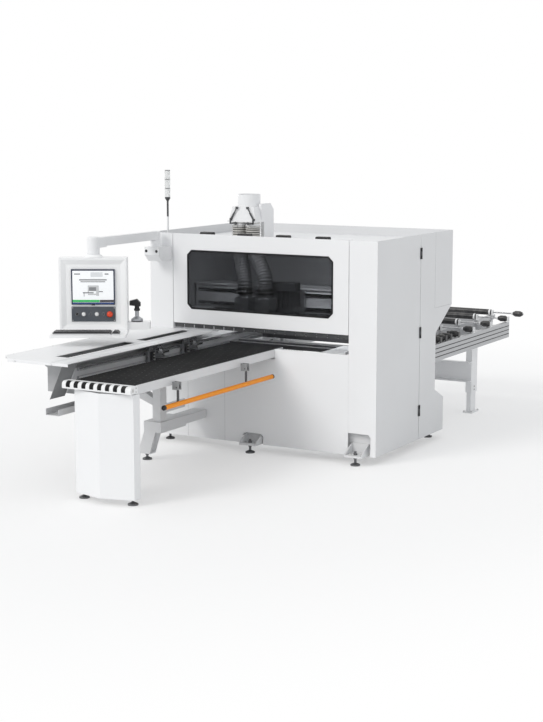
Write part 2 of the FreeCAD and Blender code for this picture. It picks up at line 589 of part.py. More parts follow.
def rear_panels():
    """Rear hood, its sloped underside and the folded lower rear sheet."""
    across = "body_width - 2*panel_skin"
    low = "shoulder_low + panel_skin + panel_seam"
    hood = plate("xy", low, f"rim_top - ({low})", [
        ("-body_width", "rear_seam"), ("-inside_left", "rear_seam"), ("-inside_left",
                                                                      "top_depth - panel_skin"),
        ("-panel_skin", "top_depth - panel_skin"), ("-panel_skin", "rear_seam"), ("0", "rear_seam"),
        ("0", "top_depth"), ("-body_width", "top_depth")])
    slope = plate("yz", "-inside_left", across, [
        ("waist_depth - panel_skin", "waist_top + panel_seam"), ("waist_depth", "waist_top"),
        ("top_depth", "shoulder_low"), ("top_depth", low), ("top_depth - panel_skin", low)])
    skirt = plate("yz", "-inside_left", across, [
        ("foot_depth - panel_skin", "skirt_low"), ("foot_depth", "skirt_low"), ("foot_depth", "kick_top"),
        ("waist_depth", "knee_high"), ("waist_depth", "waist_low"), ("waist_depth - panel_skin",
                                                                     "waist_low"),
        ("waist_depth - panel_skin", "knee_high - panel_skin"), ("foot_depth - panel_skin",
                                                                 "kick_top - panel_skin")])
    node("rear_panels", group([hood, slope, skirt]))


def roof_panel():
    """Recessed roof with hose holes and the header that carries the door hinges."""
    left_end = "-(body_width - column_left - door_gap)"
    right_end = "-(column_right + door_gap)"
    fold_gap = "panel_skin + panel_seam"
    deck = plate("xy", "roof_high - panel_skin", "panel_skin", [
        ("-inside_left", "panel_skin"), (f"-(body_width - column_left + {fold_gap})", "panel_skin"),
        (f"-(body_width - column_left + {fold_gap})", "column_return + panel_skin + panel_seam"),
        (left_end, "column_return + panel_skin + panel_seam"), (left_end, "hinge_back"), (right_end,
                                                                                          "hinge_back"),
        (right_end, "column_return + panel_skin + panel_seam"),
        (f"-(column_right - ({fold_gap}))", "column_return + panel_skin + panel_seam"),
        (f"-(column_right - ({fold_gap}))", "panel_skin"), ("-2*panel_skin", "panel_skin"),
        ("-2*panel_skin", "side_door_seam + side_seam"), ("-panel_skin", "side_door_seam + side_seam"),
        ("-panel_skin", "top_depth - panel_skin"), ("-inside_left", "top_depth - panel_skin")])
    holes = [rod(f"-{x}", "duct_y", "roof_high - panel_skin - overrun", "z", "hose_radius + hose_room",
                 "panel_skin + 2*overrun") for x in ("duct_one_x", "duct_two_x")]
    header = plate("yz", left_end, "body_width - column_left - column_right - 2*door_gap", [
        ("hinge_back", "roof_high"), ("hinge_back", "header_top"), ("hinge_back + header_wall",
                                                                    "header_top"),
        ("hinge_back + header_wall", "roof_high"), ("hinge_back + header_wall - panel_skin", "roof_high"),
        ("hinge_back + header_wall - panel_skin", "header_top - panel_skin"),
        ("hinge_back + panel_skin", "header_top - panel_skin"), ("hinge_back + panel_skin", "roof_high")])
    node("roof_panel", joined([less(deck, holes), header]))


def infeed_table():
    """Aluminium table frame with its leg, and the air board that lies in it."""
    right = [("-(table_right + table_rail_wide)", "table_rail_low"), ("-table_right", "table_rail_low"),
             ("-table_right", "table_top - table_bevel"), ("-(table_right + table_bevel)", "table_top"),
             ("-board_right", "table_top"), ("-board_right", "table_top - table_board"),
             ("-(table_right + table_rail_wide)", "table_top - table_board")]
    left = [("-(table_left - table_rail_wide)", "table_rail_low"), ("-table_left", "table_rail_low"),
            ("-table_left", "table_top - table_bevel"), ("-(table_left - table_bevel)", "table_top"),
            ("-board_left", "table_top"), ("-board_left", "table_top - table_board"),
            ("-(table_left - table_rail_wide)", "table_top - table_board")]
    along = "table_long + table_inside"
    pieces = [plate("xz", "-table_long", along, right), plate("xz", "-table_long", along, left)]
    between = "table_wide - 2*table_rail_wide"
    for k in range(CROSS_BARS):
        start = f"-table_long + {k}*(({along} - cross_bar)/{CROSS_BARS - 1})"
        pieces.append(box("-(table_left - table_rail_wide)", start,
                          "table_top - table_board - cross_bar", between, "cross_bar", "cross_bar"))
    for x in ("leg_foot_left", "leg_foot_right"):
        pieces.append(box(f"-({x} + leg_post/2)", "-(leg_foot_line + leg_post/2)", "leg_base", "leg_post",
                          "leg_post",
                          "table_rail_low - leg_base"))
    pieces.append(box("-(leg_foot_left + leg_post/2)", "-table_long", "table_rail_low - cross_bar",
                      "leg_foot_left - leg_foot_right + leg_post", "table_long - leg_foot_line + leg_post/2",
                      "cross_bar + table_top - table_board - cross_bar - table_rail_low"))
    holes = []
    for line in ("hanger_front", "hanger_back"):
        for side in ("-1", "1"):
            start = f"-{line} + ({side})*(hanger_wide/2 + running_gap + lug_skin/2) - lug_skin/2"
            pieces.append(box("-table_right", start, "bar_pivot_high - lug_high/2",
                              "table_right - bar_middle + lug_high/2",
                              "lug_skin", "lug_top - bar_pivot_high + lug_high/2"))
        holes.append(rod("-bar_middle", f"-{line} - hanger_wide - lug_skin", "bar_pivot_high", "y",
                         "pivot_radius + bore_gap", "2*hanger_wide + 2*lug_skin"))
    node("infeed_table_frame", less(joined(pieces), holes))
    board = box("-board_left", "-table_long", "table_top - table_board", "board_left - board_right", along,
                "table_board")
    node("infeed_table_top", board)


def infeed_nose():
    """Rounded moulding with a pocket for each nose roller, and the rollers on their axle."""
    profile = rect("-(nose_front - panel_skin)", "nose_low", "nose_reach - panel_skin",
                   "table_top - panel_skin - nose_low")
    block = plate("yz", "-nose_left", "nose_wide", profile)
    far = value("overrun/2 - nose_front")
    rounded(block, "nose_radius - panel_skin", "x",
            lambda spot: spot.y < far and spot.z > value("nose_axis_z"))
    pockets = []
    wheels = []
    for k in range(NOSE_WHEELS):
        middle = f"-(roller_first - {k}*roller_pitch)"
        pockets.append(rod(f"{middle} - roller_wide/2", "-nose_axis_y", "nose_axis_z", "x",
                           "nose_radius + pocket_gap", "roller_wide"))
        wheels.append(rod(f"{middle} - roller_wide/2 + side_gap", "-nose_axis_y", "nose_axis_z", "x",
                          "nose_radius",
                          "roller_wide - 2*side_gap"))
    channel = box("-(nose_left - overrun)", "-(nose_axis_y + axle_radius + running_gap)",
                  "nose_axis_z - axle_radius - running_gap", "nose_wide - 2*overrun",
                  "2*(axle_radius + running_gap)",
                  "2*(axle_radius + running_gap)")
    node("infeed_nose", less(block, [*pockets, channel]))
    axle = hexagon("-(nose_left - overrun - side_gap)", "-nose_axis_y", "nose_axis_z", "x", "axle_radius",
                   "nose_wide - 2*overrun - 2*side_gap")
    node("nose_rollers", joined([axle, *wheels]))


def infeed_leg_cover():
    """Folded sheet round the leg, its front coming to a shallow ridge."""
    right = "-(leg_left - leg_wide)"
    middle = "-(leg_left - leg_wide/2)"
    outline = [("-leg_left", "-(leg_front - leg_side)"), ("-leg_left", "-leg_front"),
               (middle, "-(leg_front + leg_fold)"), (right, "-leg_front"), (right,
                                                                            "-(leg_front - leg_side)"),
               (f"{right} - panel_skin", "-(leg_front - leg_side)"), (f"{right} - panel_skin",
                                                                      "-leg_front + panel_skin/2"),
               (middle, "-(leg_front + leg_fold) + panel_skin"), ("-leg_left + panel_skin",
                                                                  "-leg_front + panel_skin/2"),
               ("-leg_left + panel_skin", "-(leg_front - leg_side)")]
    shell = plate("xy", "leg_low", "table_rail_low - leg_low", outline)
    ties = [box(x, "-(leg_front - leg_side)", "leg_tie", "leg_tie_long", "panel_skin", "cross_bar")
            for x in ("-leg_left", f"{right} - leg_tie_long")]
    node("infeed_leg_cover", joined([shell, *ties]))


def safety_bar():
    """Bar on two hangers that swing on pins in lugs under the table."""
    pieces = [rod("-bar_middle", "-bar_front", "bar_high", "y", "bar_radius", "bar_front - bar_back")]
    for line in ("hanger_front", "hanger_back"):
        pieces.append(box("-(bar_middle + hanger_skin/2)", f"-{line} - hanger_wide/2", "bar_high",
                          "hanger_skin",
                          "hanger_wide", "bar_pivot_high - bar_high"))
        pieces.append(rod("-bar_middle", f"-{line} - hanger_wide/2", "bar_pivot_high", "y", "hanger_eye",
                          "hanger_wide"))
        pieces.append(rod("-bar_middle", f"-{line} - hanger_wide/2 - lug_skin - running_gap",
                          "bar_pivot_high", "y",
                          "pivot_radius", "hanger_wide + 2*lug_skin + 2*running_gap"))
    node("safety_bar", joined(pieces))


def gripper_beam():
    """Long box beam with cover supports and outriggers under the overhanging plate."""
    span = "grip_beam_front + grip_beam_back"
    pieces = [box("-beam_left", "-grip_beam_front", "grip_beam_low", "grip_beam_wide", span,
                  "grip_beam_high")]
    for x in ("-beam_left", "-(beam_left - slot_room - support_skin)"):
        pieces.append(box(x, "-grip_beam_front", "grip_beam_top", "support_skin",
                          "grip_beam_front + cover_inside",
                          "cover_low - grip_beam_top"))
    for k in range(OUTRIGGERS):
        front = f"-(grip_beam_front - outrigger_start - {k}*outrigger_pitch)"
        pieces.append(plate("xz", front, "support_skin", [
            ("-beam_left", "grip_beam_low + grip_beam_high/3"), ("-beam_left", "cover_low"),
            ("-(cover_left - cover_flange)", "cover_low"), ("-(cover_left - cover_flange)",
                                                            "cover_low - cover_flange")]))
    node("gripper_beam", joined(pieces))


def beam_cover():
    """Broad sheet over the beam with two long slots, a folded front edge and two bumpers."""
    corner_x = "-(cover_left - cover_corner)"
    inner = "-(body_width - column_left - panel_seam)"
    outline = [("-cover_right", "cover_inside"), (inner, "cover_inside"), (inner, "-panel_seam"),
               ("-cover_left", "-panel_seam"), ("-cover_left", "-(cover_front - cover_corner)"),
               (corner_x, "-cover_front"), ("-cover_right", "-cover_front")]
    slots = [rect("-slot_one_left", "-slot_one_front", "slot_one_wide", "slot_one_long"),
             rect("-slot_two_left", "-slot_two_front", "slot_two_wide", "slot_two_long")]
    pieces = [plate("xy", "cover_low", "cover_skin", outline, slots),
              box(corner_x, "-cover_front", "cover_low - cover_flange",
                  "cover_left - cover_corner - cover_right",
                  "panel_skin", "cover_flange"),
              box("-cover_left", "-(cover_front - cover_corner)", "cover_low - cover_flange", "panel_skin",
                  "cover_front - cover_corner - overrun", "cover_flange")]
    for x in ("strip_first", "strip_second"):
        pieces.append(box(f"-({x})", "-(cover_front - panel_skin)", "cover_top", "strip_wide",
                          "cover_front + cover_inside - panel_skin", "strip_high"))
    for x in ("bumper_first", "bumper_second"):
        pieces.append(rod(f"-{x}", "-cover_front", "cover_low - cover_flange/2", "-y", "bumper_radius",
                          "bumper_long"))
    node("beam_cover", joined(pieces))


def beam_bellows():
    """Folded way covers that close the slots from below."""
    strips = []
    for start, long, folds in (("slot_one_front", "slot_one_long", LONG_FOLDS),
                               ("slot_two_front", "slot_two_long", SHORT_FOLDS)):
        outline = [(f"-{start} + {long}", "grip_beam_top"), (f"-{start}", "grip_beam_top")]
        for k in range(folds):
            outline.append((f"-{start} + {k}*({long}/{folds})", "bellows_low"))
            outline.append((f"-{start} + ({k} + 1/2)*({long}/{folds})", "bellows_low + bellows_high"))
        outline.append((f"-{start} + {long}", "bellows_low"))
        strips.append(plate("yz", "-(beam_left - support_skin - side_gap)", "slot_room - 2*side_gap",
                            outline))
    node("beam_bellows", group(strips))


def beam_guards():
    """Slanted sheet under the cover's front end, and the cable trough with its straps."""
    guard = plate("xz", "-(cover_front - panel_skin)", "guard_long", [
        ("-guard_top_x", "cover_low"), ("-(guard_top_x + guard_skin)", "cover_low"),
        ("-(guard_low_x + guard_skin)", "guard_low"), ("-guard_low_x", "guard_low")])
    left = "-trough_left"
    right = "-(trough_left - trough_wide)"
    top = "trough_low + trough_high"
    trough = plate("xz", "-trough_front", "trough_long", [
        (left, "trough_low"), (right, "trough_low"), (right, top), (f"{right} - panel_skin", top),
        (f"{right} - panel_skin", "trough_low + panel_skin"), (f"{left} + panel_skin",
                                                               "trough_low + panel_skin"),
        (f"{left} + panel_skin", top), (left, top)])
    straps = [box(right, start, "strap_low", "guard_skin", "strap_wide", "strap_high")
              for start in ("-(grip_beam_front - side_gap)", "-(trough_front - trough_long) - 2*strap_wide")]
    node("beam_guards", group([guard, joined([trough, *straps])]))


def bed_extension():
    """Low pedestal in front of the body with the post, brace, port plate and foot that carry the beam."""
    left = "-(step_right + step_wide)"
    post_left = "-(step_post_right + step_post_wide)"
    pieces = [
        box(left, "-step_front", "step_low", "step_wide", "step_long", "step_high"),
        box(f"{left} + 2*overrun", "-(step_front - step_long)", "step_low + overrun",
            "step_wide - 4*overrun",
            "step_front - step_long", "step_high - 2*overrun"),
        box(post_left, "-step_post_front", "step_top", "step_post_wide", "step_post_deep",
            "grip_beam_low - step_top"),
        plate("xz", "-step_post_front + overrun", "step_post_deep - 2*overrun", [
            (post_left, "brace_low"), (post_left, "brace_low + brace_high"),
            (f"{post_left} - brace_reach + brace_high", "brace_low + brace_high + brace_drop"),
            (f"{post_left} - brace_reach + brace_high", "grip_beam_low"), (f"{post_left} - brace_reach",
                                                                           "grip_beam_low"),
            (f"{post_left} - brace_reach", "brace_low + brace_drop")]),
        box("-(step_post_right + guard_skin)", "-(step_post_front - step_post_deep)", "port_plate_low",
            "guard_skin",
            "2*port_pitch", "port_plate_high"),
        box(f"{left} - gusset_reach/2", "-step_front", "leg_base", "gusset_reach", "step_post_deep",
            "gusset_skin"),
    ]
    for start in ("-step_front", "-(step_front - step_post_deep + gusset_skin)"):
        pieces.append(plate("xz", start, "gusset_skin", [
            (f"{left} - gusset_reach/2", "leg_base + gusset_skin"), (f"{left} + gusset_reach/2",
                                                                     "leg_base + gusset_skin"),
            (f"{left} + gusset_reach", "step_low"), (left, "step_low")]))
    ports = []
    for share in ("1/4", "5/4"):
        ports.append(rod("-(step_post_right + guard_skin) - overrun",
                         f"-(step_post_front - step_post_deep) + {share}*port_pitch",
                         "port_plate_low + port_plate_high/2", "x", "port_radius", "guard_skin + 2*overrun"))
    node("bed_extension", less(joined(pieces), ports))


def tower_light():
    """Signal light on a thin pole: foot, pole, funnel socket, bands, and three lenses."""
    lens = f"(tower_lamp_high/{TOWER_LAMPS} - tower_band)"
    pole = turned("-tower_x", "tower_y", "0", "z", [
        ("0", "roof_high"), ("tower_foot/2", "roof_high"), ("tower_foot/2", "roof_high + tower_foot_high"),
        ("tower_pole", "roof_high + tower_foot_high"), ("tower_pole", "tower_socket_low"),
        ("tower_radius", "tower_socket_low + tower_radius"), ("tower_radius", "tower_lamp_low"),
        ("0", "tower_lamp_low")])
    bands = []
    lenses = []
    for k in range(TOWER_LAMPS):
        low = f"tower_lamp_low + {k}*({lens} + tower_band)"
        lenses.append(rod("-tower_x", "tower_y", low, "z", "tower_radius", lens))
        bands.append(rod("-tower_x", "tower_y", f"{low} + {lens}", "z", "tower_radius - panel_seam",
                         "tower_band"))
    node("tower_light_pole", group([pole, *bands]))
    node("tower_light_lenses", group(lenses))


def pendant():
    """Wall mount with its swivel neck, and the arm with the elbow and the hanging post."""
    mount = plate("yz", "-mount_left", "mount_wide", [
        ("0", "mount_low"), ("-(mount_deep - mount_chamfer)", "mount_low"), ("-mount_deep",
                                                                             "mount_low + mount_chamfer"),
        ("-mount_deep", "mount_low + mount_high"), ("0", "mount_low + mount_high")])
    top = "mount_low + mount_high"
    neck = turned("-neck_x", "-neck_y", "0", "z", [
        ("0", top), ("neck_radius + overrun", top), ("neck_radius", f"{top} + overrun"),
        ("neck_radius", "arm_low - running_gap"), ("0", "arm_low - running_gap")])
    node("pendant_wall_bracket", joined([mount, neck]))
    hub = turned("-neck_x", "-neck_y", "0", "z", [
        ("0", "arm_low"), ("neck_radius", "arm_low"), ("neck_radius", "arm_low + arm_high - overrun/2"),
        ("neck_radius - overrun/2", "arm_low + arm_high"), ("0", "arm_low + arm_high")])
    end = "-(neck_y + arm_long)"
    bar = box("-(neck_x + arm_deep/2)", end, "arm_low + side_gap", "arm_deep", "arm_long",
              "arm_high - 2*side_gap")
    elbow = box("-(neck_x + arm_deep/2 + elbow_grow)", end, "arm_low - elbow_grow",
                "arm_deep + 2*elbow_grow", "post_radius + elbow_long", "arm_high + elbow_grow")
    post = turned("-neck_x", end, "0", "z", [
        ("0", "post_base"), ("post_radius", "post_base"), ("post_radius", "post_top_high - overrun"),
        ("post_radius - overrun", "post_top_high"), ("0", "post_top_high")])
    node("pendant_arm", joined([hub, bar, elbow, post]))


def console():
    """Console in its own frame: x to the right, y away from the operator, z up from its floor."""
    spot = ("-neck_x", "-(neck_y + arm_long)", "console_low")

    def fitted(name, pieces):
        node(name, group(pieces), "console_turn", spot)

    shell = box("-console_wide/2", "-console_front", "0", "console_wide", "console_front + console_back",
                "console_high")
    recess = new("Part::Wedge", "recess")
    for key, text in {
        "Xmin": "-(console_wide/2 - bezel_rim)", "Xmax": "console_wide/2 - bezel_rim",
        "Zmin": "bezel_rim", "Zmax": "console_high - bezel_rim", "Ymin": "-console_front - panel_seam",
        "Ymax": "console_floor", "X2min": "-(console_wide/2 - bezel_wide)",
        "X2max": "console_wide/2 - bezel_wide",
        "Z2min": "bezel_wide", "Z2max": "console_high - bezel_wide",
    }.items():
        recess.setExpression(key, linked(text))
    wells = {0: "knob_radius", 1: "button_radius", 3: "button_radius", 5: "stem_radius"}
    bores = [rod(f"button_first + {k}*button_pitch", "console_floor - overrun", "button_line", "y",
                 f"{radius} + button_bore_gap", "overrun + button_travel_room") for k,
                 radius in wells.items()]
    tray = box("-(tray_wide/2 + tray_shift)", "-(console_front + tray_deep)", "-tray_skin", "tray_wide",
               "tray_deep",
               "tray_skin")
    under = box("-console_wide/2", "-console_front", "-tray_skin", "console_wide",
                "console_front + console_back",
                "tray_skin")
    ledge = box("console_wide/2", "-ledge_deep/2", "ledge_low", "ledge_wide", "ledge_deep", "ledge_high")
    flare = turned("0", "0", "0", "z", [
        ("0", "console_high"), ("flare_radius", "console_high"), ("flare_radius",
                                                                  "console_high + panel_skin"),
        ("post_radius", "console_high + flare_high"), ("0", "console_high + flare_high")])
    fitted("console_housing", [joined([less(shell, [recess, *bores]), tray, under, ledge, flare])])
    fitted("console_screen", [box("-screen_wide/2", "console_floor - screen_skin", "screen_low",
                                  "screen_wide",
                                  "screen_skin", "screen_high")])
    face = box("-plate_wide/2", "panel_face", "plate_low", "plate_wide", "plate_skin", "plate_high")
    holes = [rod(f"button_first + {k}*button_pitch", "panel_face - overrun", "button_line", "y",
                 f"{radius} + button_bore_gap", "plate_skin + 2*overrun") for k, radius in wells.items()]
    lamps = [rod(f"button_first + {k}*button_pitch", "panel_face", "button_line", "-y", "lamp_radius",
                 "lamp_rise")
             for k in (2, 4)]
    fitted("button_panel", [joined([less(face, holes), *lamps])])
    sunk = "console_floor + button_sunk"
    for name, k in (("start_button", 1), ("stop_button", 3)):
        fitted(name, [turned(f"button_first + {k}*button_pitch", sunk, "button_line", "-y", [
            ("0", "0"), ("button_radius", "0"), ("button_radius", "button_length - panel_skin"),
            ("button_radius - panel_skin", "button_length"), ("0", "button_length")])])
    fitted("emergency_stop", [turned("button_first + 5*button_pitch", sunk, "button_line", "-y", [
        ("0", "0"), ("stem_radius", "0"), ("stem_radius", "stop_neck"), ("stop_radius - panel_skin",
                                                                         "stop_neck"),
        ("stop_radius", "stop_neck + panel_skin"), ("stop_radius", "stop_neck + 2*panel_skin"),
        ("stop_radius*3/4", "stop_neck + stop_rise - panel_skin"), ("stop_radius/2",
                                                                    "stop_neck + stop_rise"),
        ("0", "stop_neck + stop_rise")])])
    knob = turned("button_first", sunk, "button_line", "-y", [
        ("0", "0"), ("knob_radius", "0"), ("knob_radius", "button_length"), ("0", "button_length")])
    grip = box("button_first - knob_grip/2", f"{sunk} - button_length - knob_rise",
               "button_line - knob_radius + overrun/5",
               "knob_grip", "knob_rise + overrun/5", "2*(knob_radius - overrun/5)")
    fitted("selector_knob", [joined([knob, grip])])
    base_left = "-(tray_wide/2 + tray_shift) + tray_margin"
    base_front = "-(console_front + tray_deep) + tray_margin"
    base = box(base_left, base_front, "0", "keyboard_wide", "keyboard_deep", "keyboard_high")
    keys = []
    across = f"(keyboard_wide - 2*key_margin + key_gap)/{sum(KEY_SHARES[0])}"
    back = f"(keyboard_deep - 2*key_margin + key_gap)/{len(KEY_SHARES)}"
    for row, shares in enumerate(KEY_SHARES):
        column = 0
        for wide in shares:
            keys.append(box(f"{base_left} + key_margin + {column}*{across}",
                            f"{base_front} + key_margin + {row}*{back}",
                            "keyboard_high", f"{wide}*{across} - key_gap", f"{back} - key_gap", "key_high"))
            column += wide
    mouse = plate("xz", f"{base_front}", "mouse_long", [
        (f"{base_left} + keyboard_wide + tray_margin/2", "0"),
        (f"{base_left} + keyboard_wide + tray_margin/2 + mouse_wide", "0"),
        (f"{base_left} + keyboard_wide + tray_margin/2 + mouse_wide", "mouse_high/2"),
        (f"{base_left} + keyboard_wide + tray_margin/2 + mouse_wide*3/4", "mouse_high"),
        (f"{base_left} + keyboard_wide + tray_margin/2 + mouse_wide/4", "mouse_high"),
        (f"{base_left} + keyboard_wide + tray_margin/2", "mouse_high/2")])
    fitted("keyboard", [joined([base, *keys]), mouse])
    middle = "console_wide/2 + ledge_wide*2/5"
    top = "ledge_low + ledge_high"
    cup = f"{top} + stand_high + stand_rise"
    fitted("scanner_stand", [turned(middle, "0", "0", "z", [
        ("0", top), ("stand_radius", top), ("stand_radius", f"{top} + stand_high/2"),
        ("stand_neck", f"{top} + stand_high"), ("stand_neck", cup), ("cup_radius", f"{cup} + panel_skin"),
        ("cup_radius", f"{cup} + cup_high"), ("scanner_grip + button_bore_gap", f"{cup} + cup_high"),
        ("scanner_grip + button_bore_gap", f"{cup} + cup_floor"), ("0", f"{cup} + cup_floor")])])
    handle = turned(middle, "0", "0", "z", [
        ("0", f"{cup} + cup_floor"), ("scanner_grip", f"{cup} + cup_floor"),
        ("scanner_grip", f"{cup} + cup_floor + scanner_grip_high + overrun"),
        ("0", f"{cup} + cup_floor + scanner_grip_high + overrun")])
    head_low = f"{cup} + cup_floor + scanner_grip_high"
    nose = f"{middle} - scanner_long*2/3"
    rear = f"{middle} + scanner_long/3"
    head = plate("xz", "-scanner_wide/2", "scanner_wide", [
        (nose, f"{head_low} + overrun"), (rear, head_low), (rear, f"{head_low} + scanner_high/2"),
        (middle, f"{head_low} + scanner_high"), (nose, f"{head_low} + scanner_high*3/4")])
    fitted("scanner", [joined([handle, head])])


def front_door():
    """Lift-up door with a window, edge folds and ears that turn on pins in the hinge barrels."""
    left = "-(body_width - column_left - door_gap)"
    right = "-(column_right + door_gap)"
    window_right = "-(window_left - window_wide)"
    window = [("-window_left + window_chamfer", "window_low"), (f"{window_right} - window_chamfer",
                                                                "window_low"),
              (window_right, "window_low + window_chamfer"),
              (window_right, "window_low + window_high - window_chamfer"),
              (f"{window_right} - window_chamfer", "window_low + window_high"),
              ("-window_left + window_chamfer", "window_low + window_high"),
              ("-window_left", "window_low + window_high - window_chamfer"),
              ("-window_left", "window_low + window_chamfer")]
    wide = f"{right} - ({left})"
    pieces = [plate("xz", "0", "panel_skin", rect(left, "door_low", wide, "door_top - door_low"), [window]),
              box(left, "panel_skin", "door_low", wide, "door_deep - panel_skin", "panel_skin")]
    for x in (left, f"{right} - panel_skin"):
        pieces.append(box(x, "panel_skin", "door_low + panel_skin", "panel_skin", "door_deep - panel_skin",
                          "pivot_high - 2*barrel_radius - door_low - panel_skin"))
    for k in range(ROOF_HINGES):
        middle = f"-(hinge_first - {k}*hinge_pitch)"
        for x in (f"{middle} - barrel_half - running_gap - ear_skin",
                  f"{middle} + barrel_half + running_gap"):
            ear = plate("yz", x, "ear_skin", [
                ("panel_skin", "pivot_high - 2*barrel_radius"), ("pivot_back", "pivot_high - barrel_radius"),
                ("pivot_back + barrel_radius*3/4", "pivot_high - barrel_radius*3/4"),
                ("pivot_back + barrel_radius", "pivot_high"),
                ("pivot_back + barrel_radius*3/4", "pivot_high + barrel_radius*3/4"),
                ("pivot_back", "pivot_high + barrel_radius"), ("panel_skin", "pivot_high + barrel_radius")])
            pieces.append(ear)
        pieces.append(rod(f"{middle} - barrel_half - running_gap - ear_skin", "pivot_back", "pivot_high",
                          "x",
                          "pin_radius", "2*(barrel_half + running_gap + ear_skin)"))
    node("front_door", joined(pieces))
    glass = box("-window_left - glass_lap", "panel_skin", "window_low - glass_lap",
                "window_wide + 2*glass_lap",
                "glass_skin", "window_high + 2*glass_lap")
    node("front_door_window", glass)


def strip_curtain():
    """Curtain rail under the door with its row of hanging strips."""
    left = "-(body_width - column_left - 2*door_gap)"
    wide = "body_width - column_left - column_right - 4*door_gap"
    rail = box(left, "strip_back - door_gap", "door_low - strip_rail_high", wide, "strip_skin + 2*door_gap",
               "strip_rail_high")
    pitch = f"(({wide} + strip_gap)/{STRIPS})"
    strips = [box(f"{left} + {k}*{pitch}", "strip_back", "door_low - strip_rail_high - strip_hang",
                  f"{pitch} - strip_gap", "strip_skin", "strip_hang") for k in range(STRIPS)]
    node("strip_curtain", joined([rail, *strips]))


def door_hinges():
    """Fixed halves of the four roof hinges and of the three side door hinges."""
    halves = []
    for k in range(ROOF_HINGES):
        middle = f"-(hinge_first - {k}*hinge_pitch)"
        block = plate("yz", f"{middle} - hinge_wide/2", "hinge_wide", [
            ("hinge_back", "header_top"), ("hinge_back + hinge_base", "header_top"),
            ("hinge_back + hinge_base", "hinge_crest - overrun"), ("hinge_back + hinge_base - overrun",
                                                                   "hinge_crest"),
            ("hinge_back - barrel_radius/2", "hinge_crest"), ("hinge_back - barrel_radius",
                                                              "hinge_crest - overrun"),
            ("hinge_back - barrel_radius", "header_top")])
        arm = box(f"{middle} - barrel_half", "pivot_back", "pivot_high - overrun", "2*barrel_half",
                  "hinge_back - pivot_back", "2*overrun")
        barrel = rod(f"{middle} - barrel_half", "pivot_back", "pivot_high", "x", "barrel_radius",
                     "2*barrel_half")
        bore = rod(f"{middle} - barrel_half - overrun", "pivot_back", "pivot_high", "x",
                   "pin_radius + bore_gap",
                   "2*(barrel_half + overrun)")
        halves.append(less(joined([block, arm, barrel]), [bore]))
    third = "side_hinge_high/3"
    for k in range(SIDE_HINGES):
        low = f"side_hinge_low + {k}*side_hinge_pitch"
        pieces = [box("0", "side_door_seam + side_hinge_radius + panel_seam", low, "side_hinge_leaf",
                      "side_hinge_wide - side_hinge_radius", "side_hinge_high")]
        for start in (low, f"{low} + 2*{third}"):
            pieces.append(rod("side_hinge_radius", "side_door_seam", start, "z", "side_hinge_radius",
                              f"{third} - running_gap"))
            pieces.append(box("0", "side_door_seam", start, "side_hinge_leaf",
                              "side_hinge_radius + panel_seam",
                              f"{third} - running_gap"))
        halves.append(joined(pieces))
    node("door_hinges", group(halves))


def side_door():
    """Side door sheet with folded edges, and the moving halves of its hinges."""
    deep = "side_door_seam - panel_skin - 2*panel_seam - panel_skin"
    sheet_part = box("-panel_skin", "panel_skin + panel_seam", "skirt_low", "panel_skin", deep,
                     "rim_top - skirt_low")
    high = "roof_high - panel_skin - 2*overrun - skirt_low"
    folds = [box("-(panel_skin + side_door_flange)", y, "skirt_low + overrun", "side_door_flange",
                 "panel_skin", high)
             for y in ("panel_skin + panel_seam", f"panel_skin + panel_seam + {deep} - panel_skin")]
    node("side_door", joined([sheet_part, *folds]))
    third = "side_hinge_high/3"
    leaves = []
    for k in range(SIDE_HINGES):
        low = f"side_hinge_low + {k}*side_hinge_pitch"
        leaf = box("0", "side_door_seam - side_hinge_wide", low, "side_hinge_leaf",
                   "side_hinge_wide - side_hinge_radius - panel_seam", "side_hinge_high")
        link = box("0", "side_door_seam - side_hinge_radius - panel_seam", f"{low} + {third}",
                   "side_hinge_leaf",
                   "side_hinge_radius + panel_seam", f"{third} - running_gap")
        knuckle = rod("side_hinge_radius", "side_door_seam", f"{low} + {third}", "z", "side_hinge_radius",
                      f"{third} - running_gap")
        leaves.append(joined([leaf, link, knuckle]))
    node("side_door_hinge_leaves", group(leaves))


